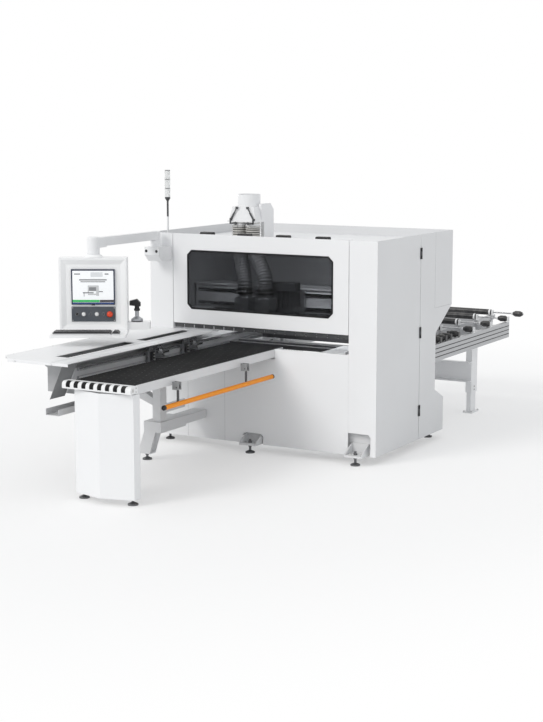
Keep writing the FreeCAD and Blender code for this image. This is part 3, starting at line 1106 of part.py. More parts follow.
def dust_unit():
    """Extraction box on the roof: collar, tapered hood, two adaptors, side box, and its lift struts."""
    hood_left = "-(collar_x + funnel_wide/2)"
    hood_front = "collar_y - funnel_deep/2"
    collar = tube("-collar_x", "collar_y", "collar_low", "z", "collar_radius", "collar_wall", "collar_high")
    flange = rod("-collar_x", "collar_y", "collar_low", "z", "collar_radius + overrun", "collar_wall")
    taper = new("Part::Wedge", "taper")
    for key, text in {
        "Xmin": hood_left, "Xmax": "-(collar_x - funnel_wide/2)", "Zmin": f"-({hood_front} + funnel_deep)",
        "Zmax": f"-({hood_front})", "Ymin": "funnel_low", "Ymax": "collar_low",
        "X2min": "-(collar_x + collar_radius + overrun)", "X2max": "-(collar_x - collar_radius - overrun)",
        "Z2min": "-(collar_y + collar_radius + overrun)", "Z2max": "-(collar_y - collar_radius - overrun)",
    }.items():
        taper.setExpression(key, linked(text))
    taper.Placement = FreeCAD.Placement(FreeCAD.Vector(), FreeCAD.Rotation(FreeCAD.Vector(1, 0, 0), 90))
    bore = rod("-collar_x", "collar_y", "funnel_low + funnel_floor", "z", "collar_radius - collar_wall",
               "collar_low + collar_high - funnel_low")
    adaptors = []
    wells = []
    for x in ("duct_one_x", "duct_two_x"):
        adaptors.append(rod(f"-{x}", "duct_y", "funnel_low - adaptor_high", "z", "adaptor_radius",
                            "adaptor_high"))
        adaptors.append(rod(f"-{x}", "duct_y", "funnel_low - adaptor_lip", "z",
                            "adaptor_radius + panel_skin",
                            "adaptor_lip"))
        wells.append(rod(f"-{x}", "duct_y", "funnel_low - adaptor_high - overrun", "z", "hose_bore",
                         "adaptor_high + funnel_floor + 2*overrun"))
    outer = "collar_y + funnel_deep/2 - dust_box_ahead"
    inner = f"{outer} + dust_box_deep"
    behind_hose = "duct_y + hose_radius + hose_rib + dust_box_gap"
    step = "funnel_low - hood_rim"
    wide = "(funnel_wide/2 - collar_radius - dust_box_room)"
    side = plate("yz", f"-(collar_x - funnel_wide/2) - {wide}", wide, [
        (behind_hose, "roof_high"), (inner, "roof_high"), (inner, "dust_box_top - dust_box_chamfer"),
        (f"{inner} - dust_box_chamfer", "dust_box_top"), (outer, "dust_box_top"), (outer, step),
        (behind_hose, step)])
    rim = box(f"{hood_left} - hood_rim", f"{hood_front} - hood_rim", "funnel_low - hood_rim",
              "funnel_wide + hood_rim", "funnel_deep + hood_rim", "hood_rim")
    shell = less(joined([taper, collar, flange, *adaptors, side, rim]), [bore, *wells])
    node("dust_manifold", shell)
    struts = []
    front = f"{hood_front} - hood_rim"
    low_z = "funnel_low + strut_bracket/2"
    top_z = "collar_low - strut_bracket/2"
    middle_z = f"(({low_z})*2 + ({top_z})*3)/5"
    for side in ("-1", "1"):
        low_x = f"({side})*strut_low_reach - collar_x"
        top_x = f"({side})*strut_top_reach - collar_x"
        middle_x = f"(({low_x})*2 + ({top_x})*3)/5"
        parts = []
        for x, z in ((low_x, low_z), (top_x, top_z)):
            parts.append(box(f"{x} - strut_bracket/2", front, f"{z} - strut_bracket/2", "strut_bracket",
                             "hood_rim", "strut_bracket"))
        for x0, z0, x1, z1, half in ((low_x, low_z, middle_x, middle_z, "strut_radius"),
                                     (middle_x, middle_z, top_x, top_z, "strut_rod")):
            parts.append(plate("xz", f"{front} + hood_rim/4", "hood_rim/2", [
                (f"{x0} - {half}", z0), (f"{x0} + {half}", z0),
                (f"{x1} + {half}", z1), (f"{x1} - {half}", z1)]))
        struts.append(joined(parts))
    node("dust_cylinders", group(struts))


def along(route, share):
    """Point and direction at a share of a route that falls straight, sways over and falls straight again."""
    start, bend_high, bend_low, end = route
    height = start.z + (end.z - start.z)*share
    turn = min(1, max(0, (bend_high - height)/(bend_high - bend_low)))
    ease = turn*turn*(3 - 2*turn)
    slope = 6*turn*(1 - turn)/(bend_high - bend_low)
    spot = FreeCAD.Vector(start.x + (end.x - start.x)*ease, start.y + (end.y - start.y)*ease, height)
    return spot, FreeCAD.Vector((end.x - start.x)*slope, (end.y - start.y)*slope, -1).normalize()


def ring(centre, direction, radius):
    """Circle across a route whose start keeps to the same side."""
    side = FreeCAD.Vector(0, 1, 0).cross(direction).normalize()
    up = direction.cross(side)
    wire = Part.Wire(Part.makeCircle(radius))
    wire.Placement = FreeCAD.Placement(centre, FreeCAD.Rotation(side, up, direction, "ZXY"))
    return wire


def hose(route, ribs):
    """Ribbed hose with a smooth cuff: a ruled skin through four circles a rib, less its bore."""
    crest = value("hose_radius")
    root = crest - value("hose_rib")
    cuff = FreeCAD.Vector(0, 0, -value("hose_cuff"))
    past = FreeCAD.Vector(0, 0, value("overrun"))
    outer = []
    for k in range(ribs):
        for offset, lift in RIB_SHARES:
            outer.append(ring(*along(route, (k + offset)/ribs), root + (crest - root)*lift))
    last, down = along(route, 1)
    outer += [ring(last, down, root), ring(last + cuff, down, root)]
    first = along(route, 0)[0]
    inner = [ring(first + past, down, value("hose_bore"))]
    inner += [ring(*along(route, k/ribs), value("hose_bore")) for k in range(1, ribs)]
    inner += [ring(last + cuff - past, down, value("hose_bore"))]
    made = new("Part::Feature", "hose")
    made.Shape = Part.makeLoft(outer, True, True).cut(Part.makeLoft(inner, True, True))
    return made


def dust_hoses():
    """Two ribbed hoses from the roof adaptors down to the cutting hoods."""
    middle = "hood_front + hood_deep/2"
    solids = []
    for top_x, low_x, high, low in (("duct_one_x", "hood_left", "hose_bend_one", "hose_still_one"),
                                    ("duct_two_x", "hood_right", "hose_bend_two", "hose_still_two")):
        start = FreeCAD.Vector(-value(top_x), value("duct_y"), value("funnel_low - adaptor_high"))
        end = FreeCAD.Vector(-value(low_x), value(middle),
                             value("carriage_spigot_top + side_gap/2 + hose_cuff"))
        solids.append(hose((start, value(high), value(low), end), HOSE_RIBS))
    node("dust_hoses", group(solids))


def edge_wheel(y):
    """Wheel with a bevelled rim on both sides, turned about its axle."""
    half = "wheel_wide/2"
    return turned("-wheel_middle", y, "row_high", "x", [
        ("0", f"-{half}"), ("row_radius - wheel_cone/2", f"-{half}"), ("row_radius", f"wheel_cone - {half}"),
        ("row_radius", f"{half} - wheel_cone"), ("row_radius - wheel_cone/2", half), ("0", half)])


def outfeed():
    """Outfeed frame with its cross members and shaft holders, and the four long roller rows."""
    right = "-(out_rail_right + out_rail_wide)"
    grooves = []
    for k in range(RAIL_GROOVES):
        low = f"out_rail_low + {k + 1}*out_rail_high/{RAIL_GROOVES + 1} - out_groove/2"
        grooves.append(box("-(out_rail_right + out_groove_deep)", "out_front - overrun", low,
                           "out_groove_deep + overrun", "out_back - out_front + 2*overrun", "out_groove"))
        grooves.append(box("-out_left - overrun", "out_front - overrun", low, "out_groove_deep + overrun",
                           "out_back - out_front + 2*overrun", "out_groove"))
    rails = [box(right, "out_front", "out_rail_low", "out_rail_wide", "out_back - out_front",
                 "out_rail_high"),
             box("-out_left", "out_front", "out_rail_low", "out_rail_wide", "out_back - out_front",
                 "out_rail_high")]
    pieces = [less(joined(rails), grooves)]
    for x in ("-(inner_rail + inner_wide)", "-(inner_left + inner_wide)"):
        pieces.append(box(x, "out_front", "inner_low", "inner_wide", "inner_back - out_front", "inner_high"))
    for y in ("out_front + cross_deep", "row_four", "row_three", "row_two"):
        pieces.append(box("-(out_left - out_rail_wide)", f"{y} - cross_deep/2", "inner_low - cross_high",
                          "out_left - out_rail_right - 2*out_rail_wide", "cross_deep", "cross_high"))
    pieces.append(box("-(inner_left + inner_wide)", "row_one - cross_deep/2", "inner_low - cross_high",
                      "inner_left + inner_wide - inner_rail", "cross_deep", "cross_high"))
    pieces.append(box(right, "post_front + post_deep", "out_rail_low + cross_deep",
                      "out_rail_right + out_rail_wide - post_inset",
                      "out_front - post_front - post_deep", "out_rail_high/2"))
    pieces.append(box("-beam_right", "out_front", "out_rail_top - out_rail_high/2", "beam_right - out_left",
                      "grip_beam_back - out_front", "out_rail_high/3"))
    slots = []
    for y in ("row_one", "row_two", "row_three", "row_four"):
        for x in ("-inner_rail", "-(inner_left + inner_wide + holder_wide)"):
            pieces.append(box(x, f"{y} - holder_deep/2", "inner_low", "holder_wide", "holder_deep",
                              "row_high + holder_deep/2 - inner_low"))
        if y != "row_one":
            pieces.append(box("-(wheel_middle - wheel_wide/2 - side_gap)", f"{y} - holder_deep/2",
                              "out_rail_top",
                              "wheel_middle - wheel_wide/2 - side_gap - out_rail_right", "holder_deep",
                              "row_high + holder_deep/2 - out_rail_top"))
        slots.append(box("-(out_left - out_rail_wide)", f"{y} - shaft_radius - running_gap",
                         "row_high - shaft_radius - running_gap", "out_left",
                         "2*(shaft_radius + running_gap)",
                         "row_high"))
    node("outfeed_frame", less(joined(pieces), slots))
    start = "-(inner_left + inner_wide + holder_wide)"
    for k, y in enumerate(("row_one", "row_two", "row_three", "row_four"), 1):
        shaft = hexagon(start, y, "row_high", "x", "shaft_radius",
                        "inner_left + inner_wide + holder_wide - out_rail_right")
        bar = rod("-(inner_left + inner_wide - holder_wide)", y, "row_high", "x", "row_radius",
                  "inner_left + inner_wide - inner_rail - 2*holder_wide")
        node(f"outfeed_roller_{k}", joined([shaft, bar, edge_wheel(y)]))


def exit_wheels():
    """Four edge wheels on short shafts in yokes that stand on the right rail behind the body."""
    sets = []
    for y in ("exit_first", "exit_second", "exit_third", "exit_fourth"):
        yoke = [box(x, f"{y} - holder_deep/2", "out_rail_top", "exit_yoke", "holder_deep",
                    "row_high + holder_deep/2 - out_rail_top")
                for x in ("-(wheel_middle + wheel_wide/2 + side_gap + exit_yoke)",
                          "-(wheel_middle - wheel_wide/2 - side_gap)")]
        foot = box("-(wheel_middle + wheel_wide/2 + side_gap + exit_yoke)", f"{y} - holder_deep/2",
                   "out_rail_top - exit_yoke",
                   "wheel_middle + wheel_wide/2 + side_gap + exit_yoke - out_rail_right - out_rail_wide",
                   "holder_deep", "exit_yoke")
        shaft = hexagon("-(wheel_middle + wheel_wide/2 + side_gap + exit_yoke)", y, "row_high", "x",
                        "shaft_radius",
                        "wheel_wide + 2*side_gap + 2*exit_yoke")
        sets.append(joined([*yoke, foot, shaft, edge_wheel(y)]))
    node("exit_wheels", group(sets))


def outfeed_legs():
    """Two telescopic legs on foot plates, tied by a channel."""
    top = "inner_low - cross_high"
    mirrored = "-(out_left + out_rail_right - (out_leg_left - out_leg_wide))"
    legs = []
    for x in ("-out_leg_left", mirrored):
        legs.append(box(x, "out_leg_front", "out_leg_joint", "out_leg_wide", "out_leg_deep",
                        f"{top} - out_leg_joint"))
        legs.append(box(f"{x} + out_leg_inner", "out_leg_front + out_leg_inner", "out_plate",
                        "out_leg_wide - 2*out_leg_inner", "out_leg_deep - 2*out_leg_inner",
                        "out_leg_joint - out_plate"))
        legs.append(box(f"{x} - 2*out_leg_inner", "out_leg_front - 2*out_leg_inner", "0",
                        "out_leg_wide + 4*out_leg_inner",
                        "out_leg_deep + 4*out_leg_inner", "out_plate"))
    start = "out_leg_front - out_tie_deep"
    tie = plate("yz", mirrored, "out_left + out_rail_right - 2*(out_leg_left - out_leg_wide)", [
        (start, "out_tie_low"), ("out_leg_front", "out_tie_low"), ("out_leg_front",
                                                                   "out_tie_low + out_tie_high"),
        (start, "out_tie_low + out_tie_high"), (start, "out_tie_low + out_tie_high - out_tie_wall"),
        ("out_leg_front - out_tie_wall", "out_tie_low + out_tie_high - out_tie_wall"),
        ("out_leg_front - out_tie_wall", "out_tie_low + out_tie_wall"), (start,
                                                                         "out_tie_low + out_tie_wall")])
    node("outfeed_legs", joined([*legs, tie]))


def support_bars():
    """Cross bars that carry the panel inside, and the side fence on them."""
    bars = [box("-bearer_left", y, "bar_low", "bearer_left - post_right", "bar_wide", "bearer_high")
            for y in ("bar_one", "bar_two", "bar_three", "bar_four", "bar_five")]
    fence = plate("xz", "fence_front", "fence_long", [
        ("-fence_left", "table_top"), ("-(fence_left - fence_wide)", "table_top"),
        ("-(fence_left - fence_wide)", "table_top + fence_lip"),
        ("-(fence_left - fence_wide) - fence_skin", "table_top + fence_lip"),
        ("-(fence_left - fence_wide) - fence_skin", "table_top + fence_skin"),
        ("-fence_left", "table_top + fence_skin")])
    node("support_bars", group([*bars, fence]))


def grippers():
    """Two gripper carriages on the beam's rails, each with a fixed lower jaw and a lifting upper jaw."""
    for name, middle in (("gripper_front", "-grip_front_middle"), ("gripper_rear", "-grip_rear_middle")):
        left = "-(beam_right - rail_deep - running_gap)"
        start = f"{middle} - grip_long/2"
        plate_block = box(left, start, "grip_low", "grip_plate", "grip_long", "grip_high")
        body = box(f"{left} + grip_plate", f"{middle} - jaw_wide/2 - overrun", "grip_low + overrun",
                   "grip_body_wide - grip_plate", "jaw_wide + 2*overrun", "grip_high - 2*overrun")
        lower = box(f"{left} + grip_body_wide", f"{middle} - jaw_wide/2", "table_top + jaw_rise",
                    "jaw_reach", "jaw_wide", "jaw_skin")
        root = box(f"{left} + grip_body_wide - overrun", f"{middle} - jaw_wide/2", "table_top + jaw_rise",
                   "overrun",
                   "jaw_wide", "jaw_skin")
        keepers = []
        for rail in ("grip_rail_one", "grip_rail_two"):
            for low in (f"{rail} - running_gap - keeper_high", f"{rail} + rail_high + running_gap"):
                if rail == "grip_rail_two" and "+" in low:
                    continue
                keepers.append(box(f"{left} - keeper_deep", start, low, "keeper_deep", "grip_long",
                                   "keeper_high"))
        node(name, joined([plate_block, body, lower, root, *keepers]))
        jaw_left = f"{left} + grip_body_wide + running_gap"
        rest = "table_top + jaw_rise + jaw_skin + jaw_open"
        slide = box(jaw_left, f"{middle} - jaw_wide/4", rest, "jaw_post", "jaw_wide/2", "jaw_slide_high")
        pad = box(jaw_left, f"{middle} - jaw_wide/2", rest, "jaw_reach", "jaw_wide", "jaw_pad_high")
        node(f"{name}_jaw", joined([slide, pad]))


def upper_carriage():
    """Carriage plate that grips the gantry rails, and two extraction hoods on its arms."""
    left = "-(carriage_middle + carriage_wide/2)"
    back = "beam_front - rail_deep - running_gap"
    pieces = [box(left, f"{back} - carriage_plate", "carriage_low", "carriage_wide", "carriage_plate",
                  "beam_top - carriage_low - door_gap")]
    for rail in ("post_top + rail_margin", "beam_top - rail_margin - rail_high"):
        for low in (f"{rail} - running_gap - keeper_high", f"{rail} + rail_high + running_gap"):
            pieces.append(box(left, back, low, "carriage_wide", "keeper_deep", "keeper_high"))
    middle_y = "hood_front + hood_deep/2"
    cross = box("-(hood_left + hood_crown/2)", "hood_front + hood_deep", "hood_top - hood_bar",
                "hood_left - hood_right + hood_crown", "carriage_plate", "hood_bar")
    arms = [box(x, "hood_front + hood_deep", "hood_top - hood_bar", "carriage_plate",
                f"{back} - hood_front - hood_deep - carriage_plate", "hood_bar")
            for x in (left, "-(carriage_middle - head_clear)")]
    hoods = []
    for x in ("hood_left", "hood_right"):
        crown = plate("xz", "hood_front", "hood_deep", [
            (f"-{x} - hood_flare/2", "hood_low"), (f"-{x} + hood_flare/2", "hood_low"),
            (f"-{x} + hood_crown/2", "hood_low + hood_high/2"), (f"-{x} + hood_crown/2", "hood_top"),
            (f"-{x} - hood_crown/2", "hood_top"), (f"-{x} - hood_crown/2", "hood_low + hood_high/2")])
        spigot = rod(f"-{x}", middle_y, "hood_top", "z", "spigot_radius", "spigot_high")
        bore = rod(f"-{x}", middle_y, "hood_top - hood_bar", "z", "spigot_radius - hood_skin",
                   "spigot_high + hood_bar + overrun")
        mouth = box(f"-{x} - hood_flare/2 + hood_skin", "hood_front + hood_skin", "hood_low - overrun",
                    "hood_flare - 2*hood_skin", "hood_deep - 2*hood_skin", "hood_high")
        hoods.append(less(joined([crown, spigot]), [bore, mouth]))
    node("upper_carriage", group([joined([*pieces, cross, *arms]), *hoods]))


def upper_head():
    """Drill head with eight spindles and a guide, and the housing of the router spindle."""
    left = "-(head_middle + head_wide/2)"
    back = "beam_front - rail_deep - 2*running_gap - carriage_plate"
    slide = box(left, "head_front + head_deep", "head_top - head_slide", "head_wide",
                f"{back} - head_front - head_deep", "head_slide")
    block = box(left, "head_front", "head_low", "head_wide", "head_deep", "head_block_high")
    guide = box(f"{left} + overrun", "head_front + overrun", "guide_low", "head_wide - 2*overrun",
                "head_deep - 2*overrun", "guide_high")
    spindles = []
    for k in range(DRILL_PAIRS):
        for y in ("head_front + head_deep/4 + overrun/2", "head_front + head_deep*3/4 - overrun/2"):
            x = f"{left} + head_wide*{(k + 1/2)/DRILL_PAIRS}"
            spindles.append(hexagon(x, y, "guide_top", "z", "spindle_radius", "spindle_high"))
            spindles.append(hexagon(x, y, "drill_tip", "z", "drill_radius", "drill_high"))
    router_x = f"{left} - router_radius"
    router_y = "head_front + head_deep/2"
    shelf = box(f"{left} - 2*router_radius", f"{router_y} - router_radius/2", "head_low", "2*router_radius",
                "router_radius", "head_block_high")
    housing = rod(router_x, router_y, "router_low", "z", "router_radius - overrun/5",
                  "head_low - router_low")
    bore = rod(router_x, router_y, "router_low - overrun", "z", "router_shaft + bore_gap",
               "router_shaft_long + 2*overrun")
    node("upper_drill_head", joined([slide, block, guide, *spindles, less(joined([shelf, housing]),
                                                                          [bore])]))
    node("upper_spindle", turned(router_x, router_y, "router_low", "z", [
        ("0", "router_shaft_long"), ("router_shaft", "router_shaft_long"), ("router_shaft", "-running_gap"),
        ("router_nose", "-running_gap"), ("router_nose", "-router_collet/2"), ("router_nose/2",
                                                                               "-router_collet"),
        ("drill_radius", "-router_collet"), ("drill_radius", "-(router_collet + router_bit)"),
        ("0", "-(router_collet + router_bit)")]))


def lower_drill_unit():
    """Lower drill head on its pair of rails, spindles upward."""
    left = "-(lower_middle + lower_wide/2)"
    low = "lower_beam_top + rail_high + running_gap"
    deck_front = "lower_beam_front + rail_margin - overrun"
    deck = box(left, deck_front, low, "lower_wide", "lower_beam_deep - 2*rail_margin + 2*overrun",
               "lower_plate")
    body_left = "-(lower_middle + lower_body_wide/2)"
    body_high = f"{low} + lower_plate"
    body = box(body_left, f"{deck_front} + overrun", body_high, "lower_body_wide", "head_deep",
               "lower_body_high")
    motor = box(f"{body_left} + overrun", f"{deck_front} + overrun + head_deep", body_high,
                "lower_body_wide/2",
                "head_deep/2", "lower_body_high*3/4")
    spindles = []
    for k in range(DRILL_PAIRS):
        for y in (f"{deck_front} + overrun + head_deep/4", f"{deck_front} + overrun + head_deep*3/4"):
            x = f"{body_left} + lower_body_wide*{(k + 1/2)/DRILL_PAIRS}"
            spindles.append(hexagon(x, y, f"{body_high} + lower_body_high", "z", "spindle_radius",
                                    "lower_spindle_high"))
            spindles.append(hexagon(x, y, f"{body_high} + lower_body_high + lower_spindle_high", "z",
                                    "drill_radius",
                                    "lower_drill_high"))
    inset = "rail_margin + rail_deep + running_gap"
    keepers = [box(left, y, f"{low} - keeper_deep", "lower_wide", "keeper_high", "keeper_deep")
               for y in (f"lower_beam_front + {inset}",
                         f"lower_beam_front + lower_beam_deep - ({inset}) - keeper_high")]
    node("lower_drill_unit", joined([deck, body, motor, *keepers, *spindles]))


for build in (bed_frame, levelling_feet, gantry_beam, linear_rails, front_columns, front_lower_panel,
              side_panels,
              rear_panels, roof_panel, infeed_table, infeed_nose, infeed_leg_cover, safety_bar, gripper_beam,
              beam_cover, beam_bellows, beam_guards, bed_extension, tower_light, pendant, console,
              front_door,
              strip_curtain, door_hinges, side_door, dust_unit, dust_hoses, outfeed, exit_wheels,
              outfeed_legs,
              support_bars, grippers, upper_carriage, upper_head, lower_drill_unit):
    build()
doc.recompute()

for thing in doc.Objects:
    if "Invalid" in thing.State or "Error" in thing.State:
        raise RuntimeError(f"{thing.Name} of {thing.Label} did not compute: {thing.State}")
for name, thing in nodes.items():
    if thing.Shape.isNull() or not thing.Shape.isValid():
        raise RuntimeError(f"{name} has no valid shape")

os.makedirs("parts", exist_ok=True)
for name, thing in nodes.items():
    thing.Shape.exportStep(f"parts/{name}.step")
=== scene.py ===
# %% [markdown]
# # A panel drilling machine, dressed for its picture
#
# The machine's pieces come in as a fixed frame: every casting, sheet and shaft is already at its real size and
# in its real place. This lesson gives each of them its finish and adds what is too fine for the frame, such as
# hose ribs, screws, air fittings and the page on the screen. We work in metres, Z up, in the frame's own axes.

# %% Load the frame
import math

import bpy
from mathutils import Matrix, Vector


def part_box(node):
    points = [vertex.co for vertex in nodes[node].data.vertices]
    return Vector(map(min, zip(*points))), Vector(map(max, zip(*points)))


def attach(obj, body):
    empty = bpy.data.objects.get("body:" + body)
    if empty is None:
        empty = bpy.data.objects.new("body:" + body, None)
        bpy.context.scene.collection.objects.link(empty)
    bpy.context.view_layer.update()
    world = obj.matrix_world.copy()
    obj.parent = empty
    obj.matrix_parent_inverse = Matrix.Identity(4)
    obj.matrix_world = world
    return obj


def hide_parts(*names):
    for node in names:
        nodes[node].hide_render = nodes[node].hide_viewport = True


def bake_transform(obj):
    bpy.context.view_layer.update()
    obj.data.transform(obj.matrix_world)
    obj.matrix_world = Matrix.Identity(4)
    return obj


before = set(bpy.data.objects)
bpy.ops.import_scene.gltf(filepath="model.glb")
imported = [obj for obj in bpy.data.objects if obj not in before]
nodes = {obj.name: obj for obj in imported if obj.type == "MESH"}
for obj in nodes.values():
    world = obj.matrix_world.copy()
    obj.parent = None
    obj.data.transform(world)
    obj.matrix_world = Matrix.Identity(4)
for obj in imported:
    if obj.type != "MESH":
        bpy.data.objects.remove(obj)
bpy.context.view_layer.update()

# %% [markdown]
# ## A datum to measure from
#
# A fitter measures from a corner of the machine, not from the middle of the floor. The right front edge of the
# body is such a corner, so `at` takes millimetres from there: X to the left is negative, Y runs back with the
# feed, and Z goes up from the floor. The corner itself is read from the frame, so it can't drift.

# %% Datum corner
MM = 0.001
body_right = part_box("right_side_panel")[1].x
body_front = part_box("front_columns")[0].y


def at(x, y, z):
    """Point in metres from millimetres measured at the body's right front edge."""
    return Vector((body_right + x * MM, body_front + y * MM, z * MM))


def stand(name, data, place):
    """New object of some data, at a place in millimetres from the datum."""
    thing = bpy.data.objects.new(name, data)
    thing.location = at(*place)
    bpy.context.scene.collection.objects.link(thing)
    return thing


print("datum corner", [round(value, 4) for value in at(0, 0, 0)])

# %% [markdown]
# ## Camera
#
# The picture was taken with a long lens from the right of the machine's front, a little above head height. The
# machine's long straight edges fix the rest: with the lens and the angles below, the body's corners, the table
# and the outfeed rails fall where the picture has them.

# %% Camera
CAMERA_PLACE = (5546.6, -11590.6, 2939.1)
CAMERA_TILT = 81.064
CAMERA_TURN = 29.583

camera_data = bpy.data.cameras.new("camera")
camera_data.lens = 75.71
camera_data.sensor_width = 36
camera_data.clip_end = 200
camera = stand("camera", camera_data, CAMERA_PLACE)
camera.rotation_euler = (math.radians(CAMERA_TILT), 0, math.radians(CAMERA_TURN))
bpy.context.scene.camera = camera
bpy.context.scene.view_settings.view_transform = "Standard"
print("camera at", [round(value, 3) for value in camera.location])

# %% [markdown]
# ## Wiring nodes
#
# Worlds and finishes are built from nodes. `Nodes` wraps one node tree and gives each common step a short name:
# an input takes a plain value or another node's output, and each step gives back its own output. A recipe then
# reads like a sum.

# %% Node helper
class Nodes:
    """A node tree with short ways to add and wire its nodes."""

    def __init__(self, tree):
        self.tree = tree

    def feed(self, node, inputs):
        """Give inputs, by name or number, a plain value or another node's output."""
        for key, source in inputs.items():
            if isinstance(source, bpy.types.NodeSocket):
                self.tree.links.new(source, node.inputs[key])
            else:
                node.inputs[key].default_value = source
        return node

    def add(self, kind, inputs=None, **settings):
        """New node of a kind, set and fed."""
        node = self.tree.nodes.new("ShaderNode" + kind)
        for key, value in settings.items():
            setattr(node, key, value)
        return self.feed(node, inputs or {})

    def math(self, operation, first, second):
        """Arithmetic on two values."""
        return self.add("Math", {0: first, 1: second}, operation=operation).outputs[0]

    def vector(self, operation, first, second=(0, 0, 0)):
        """Arithmetic on two vectors; a length or a dot product is a plain value."""
        step = self.add("VectorMath", {0: first, 1: second}, operation=operation)
        return step.outputs["Value" if operation in ("LENGTH", "DOT_PRODUCT") else "Vector"]

    def ramp(self, value, low, high, bottom=0.0, top=1.0):
        """Smooth step of a value from low to high."""
        return self.add("MapRange", {"Value": value, "From Min": low, "From Max": high, "To Min": bottom,
                                     "To Max": top}, interpolation_type="SMOOTHSTEP").outputs[0]

    def mix(self, factor, first, second):
        """Shader between two others."""
        return self.add("MixShader", {0: factor, 1: first.outputs[0], 2: second.outputs[0]})

    def tint(self, factor, first, second):
        """Colour between two others; inputs 0, 6 and 7 of this node are those for colours."""
        return self.add("Mix", {0: factor, 6: first, 7: second}, data_type="RGBA").outputs[2]

    def spot(self):
        """Place on the object itself, so that a pattern moves along with its piece."""
        return self.add("TexCoord").outputs["Object"]

    def noise(self, scale, detail=2.0, rough=0.5, where=None):
        """Noise from 0 to 1 at the object's own places, or at others."""
        return self.add("TexNoise", {"Vector": self.spot() if where is None else where, "Scale": scale,
                                     "Detail": detail, "Roughness": rough}).outputs["Fac"]

    def bump(self, height, strength, depth, normal=None):
        """Normal of a bumped surface, over another normal if there is one."""
        inputs = {"Height": height, "Strength": strength, "Distance": depth}
        return self.add("Bump", inputs if normal is None else {**inputs, "Normal": normal}).outputs["Normal"]


print("node helper ready")

# %% [markdown]
# ## Light
#
# The picture is a catalogue view: white front, light grey side, a soft shadow that falls away to the right and
# behind. One broad sun from the left front gives part of the two tones, the side sheets carry painted shade in
# their paint, and a pale world fills the rest. The world looks pure white to the camera and to mirrors and glass,
# but lights the machine at a lower level, so the white background costs the paint no detail.

# %% World and lamps
FILL_LEVEL = 0.76


def point_lamp(name, kind, energy, place, target, **settings):
    """Lamp at a place that looks at a target, both in millimetres from the datum."""
    data = bpy.data.lights.new(name, kind)
    data.energy = energy
    for key, value in settings.items():
        setattr(data, key, value)
    lamp = stand(name, data, place)
    lamp.rotation_euler = (at(*target) - lamp.location).to_track_quat("-Z", "Y").to_euler()


world = bpy.data.worlds.new("studio")
world.use_nodes = True
bpy.context.scene.world = world
made = Nodes(world.node_tree)
made.tree.nodes.clear()
path = made.add("LightPath").outputs
seen = made.math("MAXIMUM", path["Is Camera Ray"], path["Is Glossy Ray"])
seen = made.math("MAXIMUM", seen, path["Is Transmission Ray"])
fill = made.add("Background", {"Color": (0.97, 0.985, 1, 1), "Strength": FILL_LEVEL})
white = made.add("Background", {"Color": (1, 1, 1, 1), "Strength": 1})
made.add("OutputWorld", {"Surface": made.mix(seen, fill, white).outputs[0]})

point_lamp("key", "SUN", 1.05, (-5200, -7800, 7600), (-1200, 600, 900), angle=math.radians(24),
           color=(1, 0.985, 0.96))
point_lamp("work_light", "AREA", 17, (-1150, 105, 1826), (-1150, 800, 1400), shape="RECTANGLE", size=1.5,
           size_y=0.05, spread=math.radians(120), color=(0.97, 0.985, 1))
print("fill", FILL_LEVEL, "with a sun and a work light in the drilling chamber")

# %% [markdown]
# ## Floor
#
# The floor is one big sheet. Near the machine it is a plain pale surface that takes the shadow. Further out a
# mask grows and turns it into the same white as the background, so no horizon shows.

# %% Floor
FLOOR_REACH = 60
SHADOW_REACH = 2.8
FADE = 2.6
NEAR_GLOW = 0.4


def start_finish(name, **values):
    """New material; returns it with its nodes and its Principled BSDF, whose inputs get the values."""
    material = bpy.data.materials.new(name)
    material.use_nodes = True
    made = Nodes(material.node_tree)
    shade = made.tree.nodes["Principled BSDF"]
    return material, made, made.feed(shade, {label.replace("_", " "): value for label, value in values.items()})


def show(made, shader):
    """Send a shader to the material's surface."""
    made.feed(made.tree.nodes["Material Output"], {"Surface": shader.outputs[0]})


floor_mesh = bpy.data.meshes.new("floor")
floor_mesh.from_pydata([(FLOOR_REACH * x, FLOOR_REACH * y, 0) for x, y in ((-1, -1), (1, -1), (1, 1), (-1, 1))],
                       [], [(0, 1, 2, 3)])
floor = bpy.data.objects.new("floor", floor_mesh)
bpy.context.scene.collection.objects.link(floor)
floor_paint, made, shade = start_finish("floor", Base_Color=(0.96, 0.96, 0.96, 1), Roughness=0.75,
                                        Specular_IOR_Level=0.2)
squeezed = made.vector("MULTIPLY", made.add("NewGeometry").outputs["Position"], (1, 0.7, 0))
far = made.ramp(made.vector("LENGTH", squeezed), SHADOW_REACH, SHADOW_REACH + FADE, NEAR_GLOW)
seen = made.math("MULTIPLY", far, made.add("LightPath").outputs["Is Camera Ray"])
show(made, made.mix(seen, shade, made.add("Emission", {"Strength": 1})))
floor_mesh.materials.append(floor_paint)
print("floor fades to white from", SHADOW_REACH, "m")

# %% [markdown]
# ## Effects that several finishes share
#
# A finish on a machine is never one flat colour. Powder coat has a faint orange peel, extrusions carry die
# lines, moulded plastic has a fine grain, and dust settles on what faces up. Each of these is a node group that
# is built once, with named inputs, and each material places it with its own values. A group gives out only
# colours, masks, values and normals. The shader stays in the material.

# %% Helpers for node groups
def shader_group(name, **inputs):
    """Empty node group with named inputs at their first values; returns its nodes and what it is given."""
    made = Nodes(bpy.data.node_groups.new(name, "ShaderNodeTree"))
    for label, value in inputs.items():
        kind = "Float" if isinstance(value, float) else {3: "Vector", 4: "Color"}[len(value)]
        socket = made.tree.interface.new_socket(name=label.replace("_", " "), in_out="INPUT",
                                                socket_type="NodeSocket" + kind)
        socket.default_value = value
    return made, made.tree.nodes.new("NodeGroupInput").outputs


